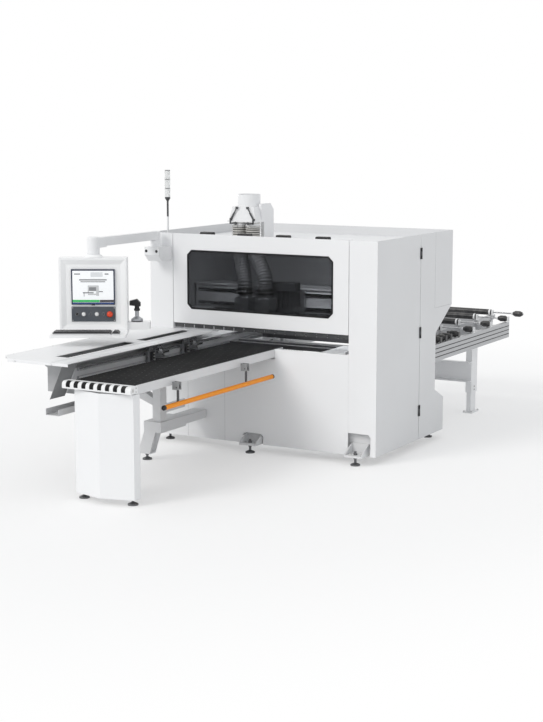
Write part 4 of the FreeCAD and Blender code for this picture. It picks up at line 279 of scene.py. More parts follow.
def close_group(made, **results):
    """Name a group's outputs, feed each of them and return the group's tree."""
    for label in results:
        kind = {"Color": "Color", "Normal": "Vector"}.get(label, "Float")
        made.tree.interface.new_socket(name=label, in_out="OUTPUT", socket_type="NodeSocket" + kind)
    made.feed(made.tree.nodes.new("NodeGroupOutput"), results)
    print(made.tree.name, len(made.tree.nodes), "nodes")
    return made.tree


print("group helpers ready")

# %% [markdown]
# ### Powder coat
#
# A coated sheet has a fine ripple, the orange peel, and very faint clouds where the coat is a touch thicker.
# Two noises at far apart scales give the two, and a third one varies the gloss, which shows in reflections.

# %% Powder coat group
made, given = shader_group("powder_coat", Color=(0.9, 0.9, 0.9, 1), Clouds=0.03, Peel_Scale=260.0, Roughness=0.4,
                           Gloss_Change=0.08)
clouds = made.math("MULTIPLY", made.ramp(made.noise(1.7, 4.0), 0.35, 0.7), given["Clouds"])
gloss = made.math("MULTIPLY", made.math("SUBTRACT", made.noise(7.0, 3.0), 0.5), given["Gloss Change"])
powder_coat = close_group(made, Color=made.tint(clouds, given["Color"], (0.32, 0.31, 0.29, 1)),
                          Roughness=made.math("ADD", gloss, given["Roughness"]),
                          Height=made.noise(given["Peel Scale"], 1.5))

# %% [markdown]
# ### Folded edge
#
# A bent sheet has no razor edge: the bend has a radius of a few millimetres, and that is what catches the
# light along every fold in the picture. The Bevel node rounds the normal near an edge without touching the
# mesh. Where the rounded normal leaves the true one there is an edge, which also gives a mask for wear.

# %% Folded edge group
made, given = shader_group("folded_edge", Radius=0.003, Wear=0.5)
bevel = made.add("Bevel", {"Radius": given["Radius"]}, samples=4).outputs["Normal"]
bent = made.math("SUBTRACT", 1.0, made.vector("DOT_PRODUCT", bevel, made.add("NewGeometry").outputs["Normal"]))
rubbed = made.math("MULTIPLY", made.ramp(bent, 0.03, 0.18), made.ramp(made.noise(24.0, 5.0, 0.65), 0.42, 0.62))
folded_edge = close_group(made, Normal=bevel, Edge=made.math("MULTIPLY", rubbed, given["Wear"]))

# %% [markdown]
# ### Settled dust
#
# Drilling board makes fine pale dust, and extraction never catches all of it. It lies on what faces up, so the
# mask is the upward part of the normal, broken up by two sizes of noise.

# %% Settled dust group
made, given = shader_group("settled_dust", Color=(0.9, 0.9, 0.9, 1), Amount=0.2, Roughness=0.4)
upward = made.add("SeparateXYZ", {0: made.add("NewGeometry").outputs["Normal"]}).outputs["Z"]
patches = made.ramp(made.noise(3.1, 6.0, 0.6), 0.38, 0.72)
grains = made.ramp(made.noise(160.0), 0.3, 0.75, 0.45)
film = made.math("MULTIPLY", made.math("MULTIPLY", patches, grains), made.ramp(upward, 0.35, 0.95))
film = made.math("MULTIPLY", film, given["Amount"])
settled_dust = close_group(made, Color=made.tint(film, given["Color"], (0.56, 0.53, 0.48, 1)),
                           Roughness=made.math("ADD", given["Roughness"], made.math("MULTIPLY", film, 0.5)))

# %% [markdown]
# ### Drawn and brushed metal
#
# Extrusions and ground bars carry fine lines along their length. Noise stretched hard along one axis gives such
# lines, and `Stretch` says how far each axis is squeezed: a small number means long streaks that way.

# %% Drawn metal group
made, given = shader_group("drawn_metal", Color=(0.7, 0.7, 0.7, 1), Stretch=(220.0, 3.0, 220.0), Contrast=0.12,
                           Roughness=0.35)
lines = made.noise(1.0, 3.0, 0.6, made.vector("MULTIPLY", made.spot(), given["Stretch"]))
patchy = made.math("ADD", lines, made.math("MULTIPLY", made.noise(5.0, 3.0), 0.6))
darker = made.math("MULTIPLY", patchy, given["Contrast"])
uneven = made.math("MULTIPLY", made.math("SUBTRACT", lines, 0.5), 0.22)
drawn_metal = close_group(made, Color=made.tint(darker, given["Color"], (0.2, 0.2, 0.21, 1)),
                          Roughness=made.math("ADD", uneven, given["Roughness"]), Height=lines)

# %% [markdown]
# ### Moulded grain
#
# Plastic and rubber leave the mould with a fine leathery grain. Cells give its bumps, and hands and dust leave
# it a little greyer in places.

# %% Moulded grain group
made, given = shader_group("moulded_grain", Color=(0.05, 0.05, 0.05, 1), Grain_Scale=900.0, Handled=0.15,
                           Roughness=0.5)
cells = made.add("TexVoronoi", {"Vector": made.spot(), "Scale": given["Grain Scale"]}).outputs["Distance"]
touched = made.math("MULTIPLY", made.ramp(made.noise(13.0, 5.0, 0.6), 0.4, 0.75), given["Handled"])
polished = made.math("SUBTRACT", given["Roughness"], made.math("MULTIPLY", touched, 0.4))
moulded_grain = close_group(made, Color=made.tint(touched, given["Color"], (0.4, 0.39, 0.37, 1)),
                            Roughness=polished, Height=cells)

# %% [markdown]
# ## Finishes
#
# With the effects in hand, each finish is a short recipe: a base colour, how rough it is, and which effects it
# carries and how strongly. `effect` places a group, and `dress` adds what every finish ends with: rubbed edges,
# dust on top and a rounded, bumped normal.

# %% Helpers for finishes
def effect(made, group, **values):
    """Effect group placed in a material, its inputs fed by name; returns its outputs."""
    inputs = {label.replace("_", " "): source for label, source in values.items()}
    return made.add("Group", inputs, node_tree=group).outputs


def dress(made, shade, skin, dust, strength, depth, radius=0.0012, wear=0.0, bare=None):
    """Shared end of a finish over the colour, roughness and height of its skin."""
    edge = effect(made, folded_edge, Radius=radius, Wear=wear)
    color = made.tint(edge["Edge"], skin["Color"], bare) if bare else skin["Color"]
    film = effect(made, settled_dust, Color=color, Amount=dust, Roughness=skin["Roughness"])
    made.feed(shade, {"Base Color": film["Color"], "Roughness": film["Roughness"],
                      "Normal": made.bump(skin["Height"], strength, depth, edge["Normal"])})


def coated(name, color, roughness, clouds=0.03, peel=260.0, dust=0.12, radius=0.003, wear=0.25, gloss_coat=0.0):
    """Powder coated steel: orange peel, faint clouds, dust on top and edges rubbed towards the bare metal."""
    material, made, shade = start_finish(name, Coat_Weight=gloss_coat, Coat_Roughness=0.12)
    skin = effect(made, powder_coat, Color=(*color, 1), Roughness=roughness, Clouds=clouds, Peel_Scale=peel)
    dress(made, shade, skin, dust, 0.12, 0.0004, radius, wear, (0.45, 0.45, 0.46, 1))
    return material


def drawn(name, color, roughness, stretch, metallic=1.0, contrast=0.12, depth=0.00015):
    """Drawn, ground or machined metal with lines along the axis that the stretch leaves long."""
    material, made, shade = start_finish(name, Metallic=metallic)
    skin = effect(made, drawn_metal, Color=(*color, 1), Roughness=roughness, Stretch=stretch, Contrast=contrast)
    dress(made, shade, skin, 0.06, 0.25, depth, wear=0.5, bare=(0.85, 0.86, 0.87, 1))
    return material


def moulded(name, color, roughness, grain=900.0, handled=0.12, dust=0.1, shine=0.5):
    """Moulded plastic or rubber with a leathery grain, a little greyer where hands and dust reach it."""
    material, made, shade = start_finish(name, Specular_IOR_Level=shine)
    skin = effect(made, moulded_grain, Color=(*color, 1), Roughness=roughness, Grain_Scale=grain,
                  Handled=handled)
    dress(made, shade, skin, dust, 0.2, 0.0002)
    return material


print("recipes ready: coated, drawn, moulded")

# %% [markdown]
# ### Sheet metal
#
# The front is a clean cool white. The sides and the back are the same white paint, painted one step greyer as
# painted shade, and the welded frame behind them has a coarser coat. Keeping them as three finishes lets the body
# read as folded sheets over a frame. The gripper beam's dark grey is painted shade under its cover, and the dust
# unit's cylinders and the console have paints of their own.

# %% White, grey and frame paint
white_panel = coated("white_panel", (0.85, 0.855, 0.865), 0.36, clouds=0.02, gloss_coat=0.15, dust=0.05)
# The side and back sheets are white like the front; this greyer colour is painted shade.
grey_panel = coated("grey_panel", (0.715, 0.72, 0.73), 0.42, dust=0.1)
frame_paint = coated("frame_paint", (0.76, 0.765, 0.775), 0.5, clouds=0.06, peel=120.0, dust=0.3, radius=0.005)
# The gripper beam's dark grey is painted shade from the cover above it.
shaded_beam_paint = coated("shaded_beam_paint", (0.42, 0.425, 0.435), 0.45, clouds=0.06, dust=0.25, wear=0.4)
dark_paint = coated("dark_paint", (0.055, 0.058, 0.063), 0.42, clouds=0.05, dust=0.2, wear=0.5)
console_paint = coated("console_paint", (0.93, 0.935, 0.94), 0.32, clouds=0.01, gloss_coat=0.2, dust=0.02)
print("painted finishes:", white_panel.name, grey_panel.name, frame_paint.name)

# %% [markdown]
# ### Metals
#
# Guide rails and rods are ground and nearly mirror-like. The machined blocks and the blackened pieces are
# duller, so they are only partly metallic here. The stretch follows the way each piece was drawn: along Y for
# the rails of the feed, along X for the cross bars and along Z for what stands.

# %% Aluminium and steel
ALONG_Y = (260.0, 2.0, 260.0)
ALONG_X = (2.0, 260.0, 260.0)
ALONG_Z = (260.0, 260.0, 2.0)
ALL_ROUND = (180.0, 180.0, 180.0)

machined_aluminium = drawn("machined_aluminium", (0.66, 0.67, 0.68), 0.34, ALL_ROUND, metallic=0.9,
                           contrast=0.1)
rail_steel = drawn("rail_steel", (0.56, 0.565, 0.575), 0.2, ALONG_X, contrast=0.15)
beam_rail_steel = drawn("beam_rail_steel", (0.56, 0.565, 0.575), 0.2, ALONG_Y, contrast=0.15)
spindle_steel = drawn("spindle_steel", (0.5, 0.505, 0.515), 0.24, ALONG_Z, contrast=0.2)
gripper_metal = drawn("gripper_metal", (0.23, 0.235, 0.245), 0.36, ALL_ROUND, metallic=0.6, contrast=0.3)
dark_steel = drawn("dark_steel", (0.16, 0.162, 0.168), 0.4, ALL_ROUND, metallic=0.7, contrast=0.2)
hinge_metal = drawn("hinge_metal", (0.10, 0.102, 0.108), 0.45, ALONG_Z, metallic=0.5, contrast=0.2)
zinc_steel = drawn("zinc_steel", (0.62, 0.62, 0.61), 0.36, ALL_ROUND, contrast=0.25, depth=0.0003)
print("metal finishes:", machined_aluminium.name, rail_steel.name, zinc_steel.name)

# %% [markdown]
# ### Plastics and rubber
#
# Rollers, keys and seals are black with a fine grain, caps and buttons are white, and the emergency button is
# the usual red. The ribbed hoses are a thin pale grey plastic.

# %% Plastics
black_plastic = moulded("black_plastic", (0.016, 0.016, 0.018), 0.46, shine=0.3)
black_rubber = moulded("black_rubber", (0.011, 0.011, 0.012), 0.62, grain=600.0, handled=0.05, dust=0.06,
                       shine=0.12)
strip_plastic = moulded("strip_plastic", (0.05, 0.052, 0.056), 0.3, grain=300.0, dust=0.3)
white_plastic = moulded("white_plastic", (0.85, 0.855, 0.86), 0.3, handled=0.04, dust=0.05)
button_white = moulded("button_white", (0.88, 0.885, 0.89), 0.22, handled=0.02, dust=0.0)
red_plastic = moulded("red_plastic", (0.80, 0.065, 0.018), 0.24, handled=0.02, dust=0.0)
panel_grey = moulded("panel_grey", (0.072, 0.083, 0.1), 0.42, grain=700.0, handled=0.05, dust=0.02)
hose_plastic = moulded("hose_plastic", (0.50, 0.49, 0.465), 0.42, grain=400.0, handled=0.3, dust=0.35)
print("plastic finishes:", black_plastic.name, white_plastic.name, hose_plastic.name)

# %% [markdown]
# ### Table board
#
# The table is faced with a black laminate. Panels slide over it all day, so it has long faint scuffs along the
# feed, on top of a fine speckle. Two noises do that, and the one for the scuffs is stretched along the feed.

# %% Table board
table_board, made, shade = start_finish("table_board", Specular_IOR_Level=0.04)
squeezed = made.vector("MULTIPLY", made.spot(), (90.0, 1.6, 1.0))
scuffs = made.ramp(made.noise(1.0, 4.0, 0.7, squeezed), 0.52, 0.78)
speckle = made.ramp(made.noise(420.0), 0.45, 0.8)
marked = made.math("ADD", made.math("MULTIPLY", scuffs, 0.03), made.math("MULTIPLY", speckle, 0.025))
board_color = made.tint(marked, (0.011, 0.0113, 0.012, 1), (0.3, 0.3, 0.3, 1))
film = effect(made, settled_dust, Color=board_color, Amount=0.02, Roughness=0.62)
smoother = made.math("SUBTRACT", film["Roughness"], made.math("MULTIPLY", scuffs, 0.14))
made.feed(shade, {"Base Color": film["Color"], "Roughness": smoother,
                  "Normal": made.bump(speckle, 0.15, 0.0002)})
print(table_board.name, "ready")

# %% [markdown]
# ### Glass and lenses
#
# The door window is smoked sheet: most of the light stays out, but the hoses and the drilling heads still show
# as grey shapes. The light that lamps send through it would count as a caustic and be lost, so shadow rays pass
# as through a plain tinted film. The signal lenses are clear plastic, nearly white. The screen's glass is near
# black, with smears that show in reflections.

# %% Smoked window, lenses and screen glass
def deeper(color, share):
    """Opaque colour at a share of another one's strength."""
    return (*[part * share for part in color], 1)


def see_through(name, color, roughness, shadow_color, transmission=1.0, bend=1.46):
    """Clear or smoked sheet whose shadow is tinted light."""
    material, made, shade = start_finish(name, Transmission_Weight=transmission, IOR=bend)
    smear = made.math("MULTIPLY", made.ramp(made.noise(4.0, 5.0, 0.6), 0.4, 0.8), 0.01)
    cloud = made.ramp(made.noise(1.1, 3.0), 0.3, 0.8, 0.0, 0.12)
    made.feed(shade, {"Roughness": made.math("ADD", smear, roughness),
                      "Base Color": made.tint(cloud, deeper(color, 1), deeper(color, 0.7))})
    film = made.add("BsdfTransparent", {"Color": (*shadow_color, 1)})
    show(made, made.mix(made.add("LightPath").outputs["Is Shadow Ray"], shade, film))
    return material


smoked_glass = see_through("smoked_glass", (0.088, 0.09, 0.094), 0.0, (0.5, 0.51, 0.53), bend=1.16)
lamp_lens = see_through("lamp_lens", (0.93, 0.94, 0.94), 0.12, (0.9, 0.9, 0.9), transmission=0.55)
screen_glass, made, shade = start_finish("screen_glass")
smear = made.ramp(made.noise(30.0, 5.0, 0.6), 0.4, 0.8, 0.06, 0.16)
made.feed(shade, {"Roughness": smear,
                  "Base Color": made.tint(smear, (0.01, 0.02, 0.055, 1), (0.04, 0.05, 0.08, 1))})
print("glass finishes:", smoked_glass.name, lamp_lens.name, screen_glass.name)

# %% [markdown]
# ### Pieces with two finishes
#
# Some pieces of the frame hold more than one stuff: a roller row is a rubber bar and a rubber wheel on a steel
# shaft, and the table frame has bright rails over painted posts. A zone mask is 1 inside a box given by two
# corners, so a material can change over where the real piece does, without a cut in the mesh.

# %% Zone mask and two-part recipe
made, given = shader_group("zone", Low=(0.0, 0.0, 0.0), High=(1.0, 1.0, 1.0))
where = made.spot()
outside = made.vector("MAXIMUM", made.vector("SUBTRACT", given["Low"], where),
                      made.vector("SUBTRACT", where, given["High"]))
parts = made.add("SeparateXYZ", {0: outside}).outputs
widest = made.math("MAXIMUM", made.math("MAXIMUM", parts["X"], parts["Y"]), parts["Z"])
zone = close_group(made, Mask=made.math("LESS_THAN", widest, 0.0))


def zone_mask(made, low, high):
    """Mask of a box between two corners in millimetres from the datum."""
    return effect(made, zone, Low=tuple(at(*low)), High=tuple(at(*high)))["Mask"]


def two_part(name, outer, inner, zones, metallic=(0.0, 0.0), stretch=ALL_ROUND, shine=0.5, dust=0.08,
             lugs=None):
    """Finish that is `inner` (colour, roughness) inside the zones and `outer` elsewhere."""
    material, made, shade = start_finish(name, Specular_IOR_Level=shine)
    mask = zone_mask(made, *zones[0])
    for corners in zones[1:]:
        mask = made.math("MAXIMUM", mask, zone_mask(made, *corners))
    first = effect(made, drawn_metal, Color=(*outer[0], 1), Roughness=outer[1], Stretch=stretch)
    second = effect(made, moulded_grain, Color=(*inner[0], 1), Roughness=inner[1])
    both = made.tint(mask, first["Color"], second["Color"])
    if lugs:
        both = made.tint(zone_mask(made, *lugs[1]), both, (*lugs[0], 1))
    film = effect(made, settled_dust, Color=both, Amount=dust, Roughness=0.4)
    rough = made.add("MapRange", {"Value": mask, "To Min": first["Roughness"], "To Max": second["Roughness"]})
    metal = made.add("MapRange", {"Value": mask, "To Min": metallic[0], "To Max": metallic[1]})
    edge = effect(made, folded_edge, Radius=0.0015, Wear=0.0)
    made.feed(shade, {"Base Color": film["Color"], "Roughness": rough.outputs[0], "Metallic": metal.outputs[0],
                      "Normal": made.bump(first["Height"], 0.12, 0.0002, edge["Normal"])})
    return material


print("recipe ready: two_part")

# %% Two-part finishes
FAR = 9000
BLACK = ((0.016, 0.016, 0.018), 0.4)
CHARCOAL = (0.05, 0.052, 0.056)
STEEL = ((0.6, 0.605, 0.615), 0.26)
WHITE = ((0.84, 0.845, 0.85), 0.35)
LIGHT_GREY = ((0.64, 0.645, 0.655), 0.4)
OUTFEED_RAIL_TOP = 886.5

row_finish = two_part("roller_row", STEEL, BLACK,
                      [((-1582, 0, 0), (-414, FAR, FAR)), ((-162, 0, 0), (-54, FAR, FAR))],
                      metallic=(1.0, 0.0), stretch=ALONG_X)
exit_finish = two_part("exit_wheel", WHITE, BLACK, [((-FAR, 0, OUTFEED_RAIL_TOP), (0, FAR, FAR))])
frame_finish = two_part("infeed_frame", ((0.74, 0.745, 0.755), 0.36), WHITE, [((-FAR, -FAR, 0), (0, FAR, 878))],
                        metallic=(0.2, 0.0), stretch=ALONG_Y,
                        lugs=((0.30, 0.305, 0.31), ((-999.5, -FAR, 800), (0, FAR, 906))))
outfeed_finish = two_part("outfeed_rails", ((0.50, 0.505, 0.515), 0.36), WHITE,
                          [((-FAR, 0, OUTFEED_RAIL_TOP), (0, FAR, FAR))], metallic=(0.35, 0.0), stretch=ALONG_Y)
bar_finish = two_part("support_bars", BLACK, LIGHT_GREY, [((-562, 0, 949), (-303, 486, FAR))])
trip_finish = two_part("trip_bar", ((1.0, 0.33, 0.008), 0.35), ((0.085, 0.085, 0.09), 0.4),
                       [((-FAR, -FAR, 748), (0, 0, FAR)), ((-FAR, -FAR, 0), (0, -1826, FAR))],
                       shine=0.15, dust=0.0)
head_finish = two_part("drill_head", STEEL, (CHARCOAL, 0.4), [((-FAR, 0, 1400), (0, FAR, FAR))],
                       metallic=(1.0, 0.1), stretch=ALONG_Z)
tower_finish = two_part("tower_pole", WHITE, (CHARCOAL, 0.38), [((-FAR, 0, 2085), (0, FAR, FAR))],
                        stretch=ALONG_Z)
stand_finish = two_part("scanner_stand", ((0.46, 0.475, 0.5), 0.3), BLACK,
                        [((-FAR, -FAR, 1240), (0, 0, 1252)), ((-FAR, -FAR, 1334), (0, 0, FAR))],
                        metallic=(0.6, 0.0), stretch=ALONG_Z)
# The guards' dark grey is painted shade of the inclined sheets' shaded faces; at the front below 700 mm they keep
# a lighter grey.
shaded_guard_finish = two_part("beam_guards", ((0.20, 0.205, 0.21), 0.45), ((0.60, 0.605, 0.615), 0.45),
                        [((-FAR, -FAR, 0), (0, 0, 700))])
keys_finish = two_part("keyboard", BLACK, LIGHT_GREY, [((-FAR, -FAR, 1166), (0, 0, 1178))])
print("two-part finishes ready")

# %% [markdown]
# ## Dress the frame
#
# Each node of the frame now gets its finish by name. A table keeps it in one place, so a reader can see at a
# glance which stuff a piece is made of.

# %% Finish of each node
FINISHES = {
    white_panel: ["front_columns", "front_lower_panel", "front_door", "infeed_leg_cover", "beam_cover",
                  "pendant_wall_bracket", "pendant_arm", "outfeed_legs", "dust_manifold", "roof_panel"],
    grey_panel: ["left_side_panel", "right_side_panel", "rear_panels", "side_door"],
    frame_paint: ["bed_frame", "gantry_beam", "bed_extension"],
    shaded_guard_finish: ["beam_guards"],
    keys_finish: ["keyboard"],
    tower_finish: ["tower_light_pole"],
    trip_finish: ["safety_bar"],
    machined_aluminium: ["upper_carriage", "lower_drill_unit"],
    gripper_metal: ["gripper_front", "gripper_rear"],
    shaded_beam_paint: ["gripper_beam"],
    rail_steel: ["linear_rails"],
    beam_rail_steel: ["gripper_front_jaw", "gripper_rear_jaw"],
    spindle_steel: ["upper_spindle"],
    dark_steel: ["levelling_feet"],
    hinge_metal: ["side_door_hinge_leaves"],
    console_paint: ["console_housing"],
    dark_paint: ["dust_cylinders"],
    bar_finish: ["support_bars"],
    black_plastic: ["door_hinges", "selector_knob", "scanner"],
    black_rubber: ["beam_bellows", "nose_rollers"],
    strip_plastic: ["strip_curtain"],
    white_plastic: ["infeed_nose"],
    button_white: ["start_button", "stop_button"],
    red_plastic: ["emergency_stop"],
    panel_grey: ["button_panel"],
    hose_plastic: ["dust_hoses"],
    table_board: ["infeed_table_top"],
    smoked_glass: ["front_door_window"],
    lamp_lens: ["tower_light_lenses"],
    screen_glass: ["console_screen"],
    row_finish: [f"outfeed_roller_{row}" for row in range(1, 5)],
    exit_finish: ["exit_wheels"],
    frame_finish: ["infeed_table_frame"],
    outfeed_finish: ["outfeed_frame"],
    head_finish: ["upper_drill_head"],
    stand_finish: ["scanner_stand"],
}
dressed = {name: material for material, names in FINISHES.items() for name in names}
for name, material in dressed.items():
    for socket in nodes[name].material_slots:
        socket.material = material
print("dressed", len(dressed), "of", len(nodes), "nodes; left:", sorted(set(nodes) - set(dressed)))

# %% [markdown]
# ## Shaping new pieces
#
# Most fine parts of a machine are turned, cut from bar or folded from sheet, so they share one idea: an outline
# is drawn again and again along a line, each time a little larger or smaller, and the rings are joined by faces.
# That is a loft. A broken edge is then just one more ring, which keeps the mesh closed and lets the light catch
# the edge as it does on the real part.

# %% Outlines
def circle(radius, steps=24):
    """Outline of a circle in millimetres."""
    return [(radius * math.cos(math.tau * k / steps), radius * math.sin(math.tau * k / steps))
            for k in range(steps)]


def hexagon(radius, steps=24):
    """Six sided outline, its radius taken to the corners, with as many points as a circle of the same steps."""
    half = math.tau / 12
    points = []
    for k in range(steps):
        angle = math.tau * k / steps
        reach = radius * math.cos(half) / math.cos(angle % (2 * half) - half)
        points.append((reach * math.cos(angle), reach * math.sin(angle)))
    return points


def rounded(wide, high, corner, steps=3):
    """Outline of a rectangle about its middle with round corners."""
    corner = min(corner, wide / 2 - 0.01, high / 2 - 0.01)
    points = []
    for quarter, (across, up) in enumerate(((1, 1), (-1, 1), (-1, -1), (1, -1))):
        for k in range(steps + 1):
            angle = math.tau * (quarter + k / steps) / 4
            points.append((across * (wide / 2 - corner) + corner * math.cos(angle),
                           up * (high / 2 - corner) + corner * math.sin(angle)))
    return points


def chamfered(wide, high, cut):
    """Outline of a rectangle about its middle with its corners cut off."""
    x, y = wide / 2, high / 2
    return [(x, cut - y), (x, y - cut), (x - cut, y), (cut - x, y), (-x, y - cut), (-x, cut - y), (cut - x, -y),
            (x - cut, -y)]


print("a round bar in", len(circle(1)), "points, a rounded block in", len(rounded(2, 2, 0.2)))

# %% Places to work from
SIDES = {"front": ((1, 0, 0), (0, 0, 1)), "back": ((-1, 0, 0), (0, 0, 1)), "right": ((0, 1, 0), (0, 0, 1)),
         "left": ((0, -1, 0), (0, 0, 1)), "top": ((1, 0, 0), (0, 1, 0))}
DATUM = Matrix.Translation(at(0, 0, 0))
CONSOLE = Matrix.Translation(at(-2190, -1050, 1167)) @ Matrix.Rotation(math.radians(29.6), 4, "Z")


def facing(side, x, y, z, base=DATUM):
    """Place whose own Z looks out of a side, at a point in millimetres from a base."""
    right, up = (Vector(axis) for axis in SIDES[side])
    turn = Matrix((right, up, right.cross(up))).transposed().to_4x4()
    return base @ Matrix.Translation(Vector((x, y, z)) * MM) @ turn


print("sides:", ", ".join(SIDES))

# %% Shells and pieces
class Shell:
    """Closed shells gathered for one piece, in metres."""

    def __init__(self):
        self.points = []
        self.faces = []
        self.stuffs = []

    def loft(self, place, rings, closed=False, stuffs=None):
        """Join rings of points, given in millimetres at a place; each row of faces may have its own stuff."""
        start, count, rows = len(self.points), len(rings[0]), len(rings)
        for ring in rings:
            self.points += [place @ (Vector(point) * MM) for point in ring]
        for row in range(rows if closed else rows - 1):
            for k in range(count):
                here, there = start + row * count, start + (row + 1) % rows * count
                self.faces.append((here + k, here + (k + 1) % count, there + (k + 1) % count, there + k))
                self.stuffs.append(stuffs[row] if stuffs else 0)
        if not closed:
            self.faces.append(tuple(range(start + count - 1, start - 1, -1)))
            self.faces.append(tuple(range(start + (rows - 1) * count, start + rows * count)))
            self.stuffs += [0, 0]

    def stack(self, place, layers, closed=False):
        """Loft through flat outlines, each with its height."""
        self.loft(place, [[(x, y, height) for x, y in outline] for outline, height in layers], closed)

    def turned(self, place, profile, steps=24):
        """Turned part from a profile of radius and height."""
        self.stack(place, [(circle(radius, steps), height) for radius, height in profile])

    def collar(self, place, outer, inner, high, edge=0.6):
        """Turned ring with broken edges."""
        profile = [(outer, 0), (outer, high - edge), (outer - edge, high), (inner + edge, high),
                   (inner, high - edge), (inner, 0)]
        self.stack(place, [(circle(radius, 32), height) for radius, height in profile], closed=True)

    def block(self, place, wide, high, thick, corner=2.0, edge=0.5):
        """Block that stands on a place, with round corners and a broken outer edge."""
        self.stack(place, [(rounded(wide - 2 * inset, high - 2 * inset, corner), height)
                           for inset, height in ((0, 0), (0, thick - edge), (edge, thick))])

    def bolt(self, place, radius, high):
        """Cap screw with a hexagon socket."""
        socket = hexagon(0.55 * radius)
        self.stack(place, [(circle(radius), 0), (circle(radius), high - 0.12 * radius),
                           (circle(0.88 * radius), high), (socket, high), (socket, 0.45 * high)])

    def hex_bolt(self, place, radius, high):
        """Hexagon head on its washer."""
        self.turned(place, [(1.35 * radius, 0), (1.35 * radius, 0.2 * radius), (1.2 * radius, 0.25 * radius)])
        self.stack(place, [(hexagon(radius), 0.2 * radius), (hexagon(radius), high - 0.15 * radius),
                           (circle(0.8 * radius), high)])


def piece(name, shell, materials, body, smooth=32):
    """Object made of a shell: edges sharper than the angle stay sharp, the rest is shaded smooth."""
    mesh = bpy.data.meshes.new(name)
    mesh.from_pydata([tuple(point) for point in shell.points], [], shell.faces)
    for material in materials if isinstance(materials, list) else [materials]:
        mesh.materials.append(material)
    mesh.polygons.foreach_set("material_index", shell.stuffs)
    mesh.polygons.foreach_set("use_smooth", [True] * len(mesh.polygons))
    mesh.set_sharp_from_angle(angle=math.radians(smooth))
    mesh.update()
    thing = bpy.data.objects.new(name, mesh)
    bpy.context.scene.collection.objects.link(thing)
    if body:
        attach(thing, body)
    print(f"{name}: {len(mesh.polygons)} faces" + (f" on {body}" if body else ""))
    return thing


print("shell helper ready")

# %% [markdown]
# ## Dust hoses
#
# Two ribbed hoses hang from the dust unit on the roof and feed the extraction hoods of the drilling carriage.
# A spiral of stiff plastic holds a thin skin open, so the outside is a row of ribs. Each rib is lofted with four
# rings. The valley between two ribs and the bore get a near-black stuff as painted shade, and from a little below
# the roof the ribs are a darker grey as painted shade of the chamber. The frame's own plain hoses stay hidden,
# and the new ones hang in a fixed sway from the roof to the carriage's hoods: they are one still piece, which
# stays put when the carriage slides.

# %% Hoses
HOSE_OUTER, HOSE_VALLEY, HOSE_BORE = 70.0, 64.5, 61.0
RIB_PITCH = 22.0
RIB = ((0.0, HOSE_VALLEY), (0.16, HOSE_OUTER), (0.46, HOSE_OUTER), (0.62, HOSE_VALLEY))
HOSE_TOP, HOSE_END = 1990.0, 1366.0
# Below this height the ribs are painted a darker grey: painted shade inside the chamber.
HOSE_SHADE_BELOW = 1850
HOSE_ROUTES = [((-1735, 632), (-1600, 500), 1800, 1440), ((-1592, 632), (-1381, 500), 1850, 1480)]
# Stuffs of the hose: pale skin, near-black painted shade of the valleys and the bore, darker grey painted shade
# of the chamber.
PALE, VALLEY_SHADE, CHAMBER_SHADE = 0, 1, 2

# Painted shade: near-black for the valleys and the bore, darker grey for the hose inside the chamber.
hose_valley_shade = moulded("hose_valley_shade", (0.03, 0.03, 0.029), 0.6, grain=400.0, handled=0.05)
hose_chamber_shade = moulded("hose_chamber_shade", (0.15, 0.152, 0.158), 0.45, grain=400.0, handled=0.1)


def hose_spot(route, height):
    """Point and slope of a hose at a height: it falls straight, sways over and falls straight again."""
    (x0, y0), (x1, y1), bend_high, bend_low = route
    turn = min(1, max(0, (bend_high - height) / (bend_high - bend_low)))
    ease = turn * turn * (3 - 2 * turn)
    slope = 6 * turn * (1 - turn) / (bend_high - bend_low)
    return (Vector((x0 + (x1 - x0) * ease, y0 + (y1 - y0) * ease, height)),
            Vector(((x1 - x0) * slope, (y1 - y0) * slope, -1)).normalized())


def hose_ring(route, height, radius):
    """Ring of points across the hose at a height."""
    spot, along = hose_spot(route, height)
    side = (Vector((1, 0, 0)) - along * along.x).normalized()
    other = along.cross(side)
    return [spot + side * x + other * y for x, y in circle(radius, 32)]


hoses = Shell()
ribs = int((HOSE_TOP - HOSE_END) / RIB_PITCH)
for route in HOSE_ROUTES:
    rings, stuffs = [], []
    for rib in range(ribs):
        for share, radius in RIB:
            rings.append(hose_ring(route, HOSE_TOP - (rib + share) * RIB_PITCH, radius))
            stuffs.append(PALE if HOSE_TOP - rib * RIB_PITCH > HOSE_SHADE_BELOW else CHAMBER_SHADE)
        stuffs[-1] = VALLEY_SHADE
    rings.append(hose_ring(route, HOSE_END, HOSE_VALLEY))
    stuffs.append(PALE)
    for rib in range(ribs, -1, -2):
        rings.append(hose_ring(route, max(HOSE_END, HOSE_TOP - rib * RIB_PITCH), HOSE_BORE))
        stuffs.append(VALLEY_SHADE)
    hoses.loft(DATUM, rings, closed=True, stuffs=stuffs)
ribbed_hoses = piece("ribbed_hoses", hoses, [hose_plastic, hose_valley_shade, hose_chamber_shade], None,
                     smooth=60)
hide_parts("dust_hoses")
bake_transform(ribbed_hoses)

# %% [markdown]
# ### Hose clamps and cuffs
#
# A hose is pushed over its pipe and held by a worm drive clamp: a steel band with a small screw housing. The
# lower ends get a soft rubber cuff, which moves with the carriage.

# %% Clamps and cuffs
BAND_WIDE = 14


def clamp(shell, x, y, z, radius):
    """Band round an upright pipe, with its screw housing in front."""
    shell.collar(facing("top", x, y, z - BAND_WIDE / 2), radius + 2.2, radius, BAND_WIDE)
    shell.block(facing("front", x, y - radius, z), 34, BAND_WIDE - 2, 9, corner=3)
    shell.bolt(facing("right", x + 17, y - radius - 5, z), 5, 5)


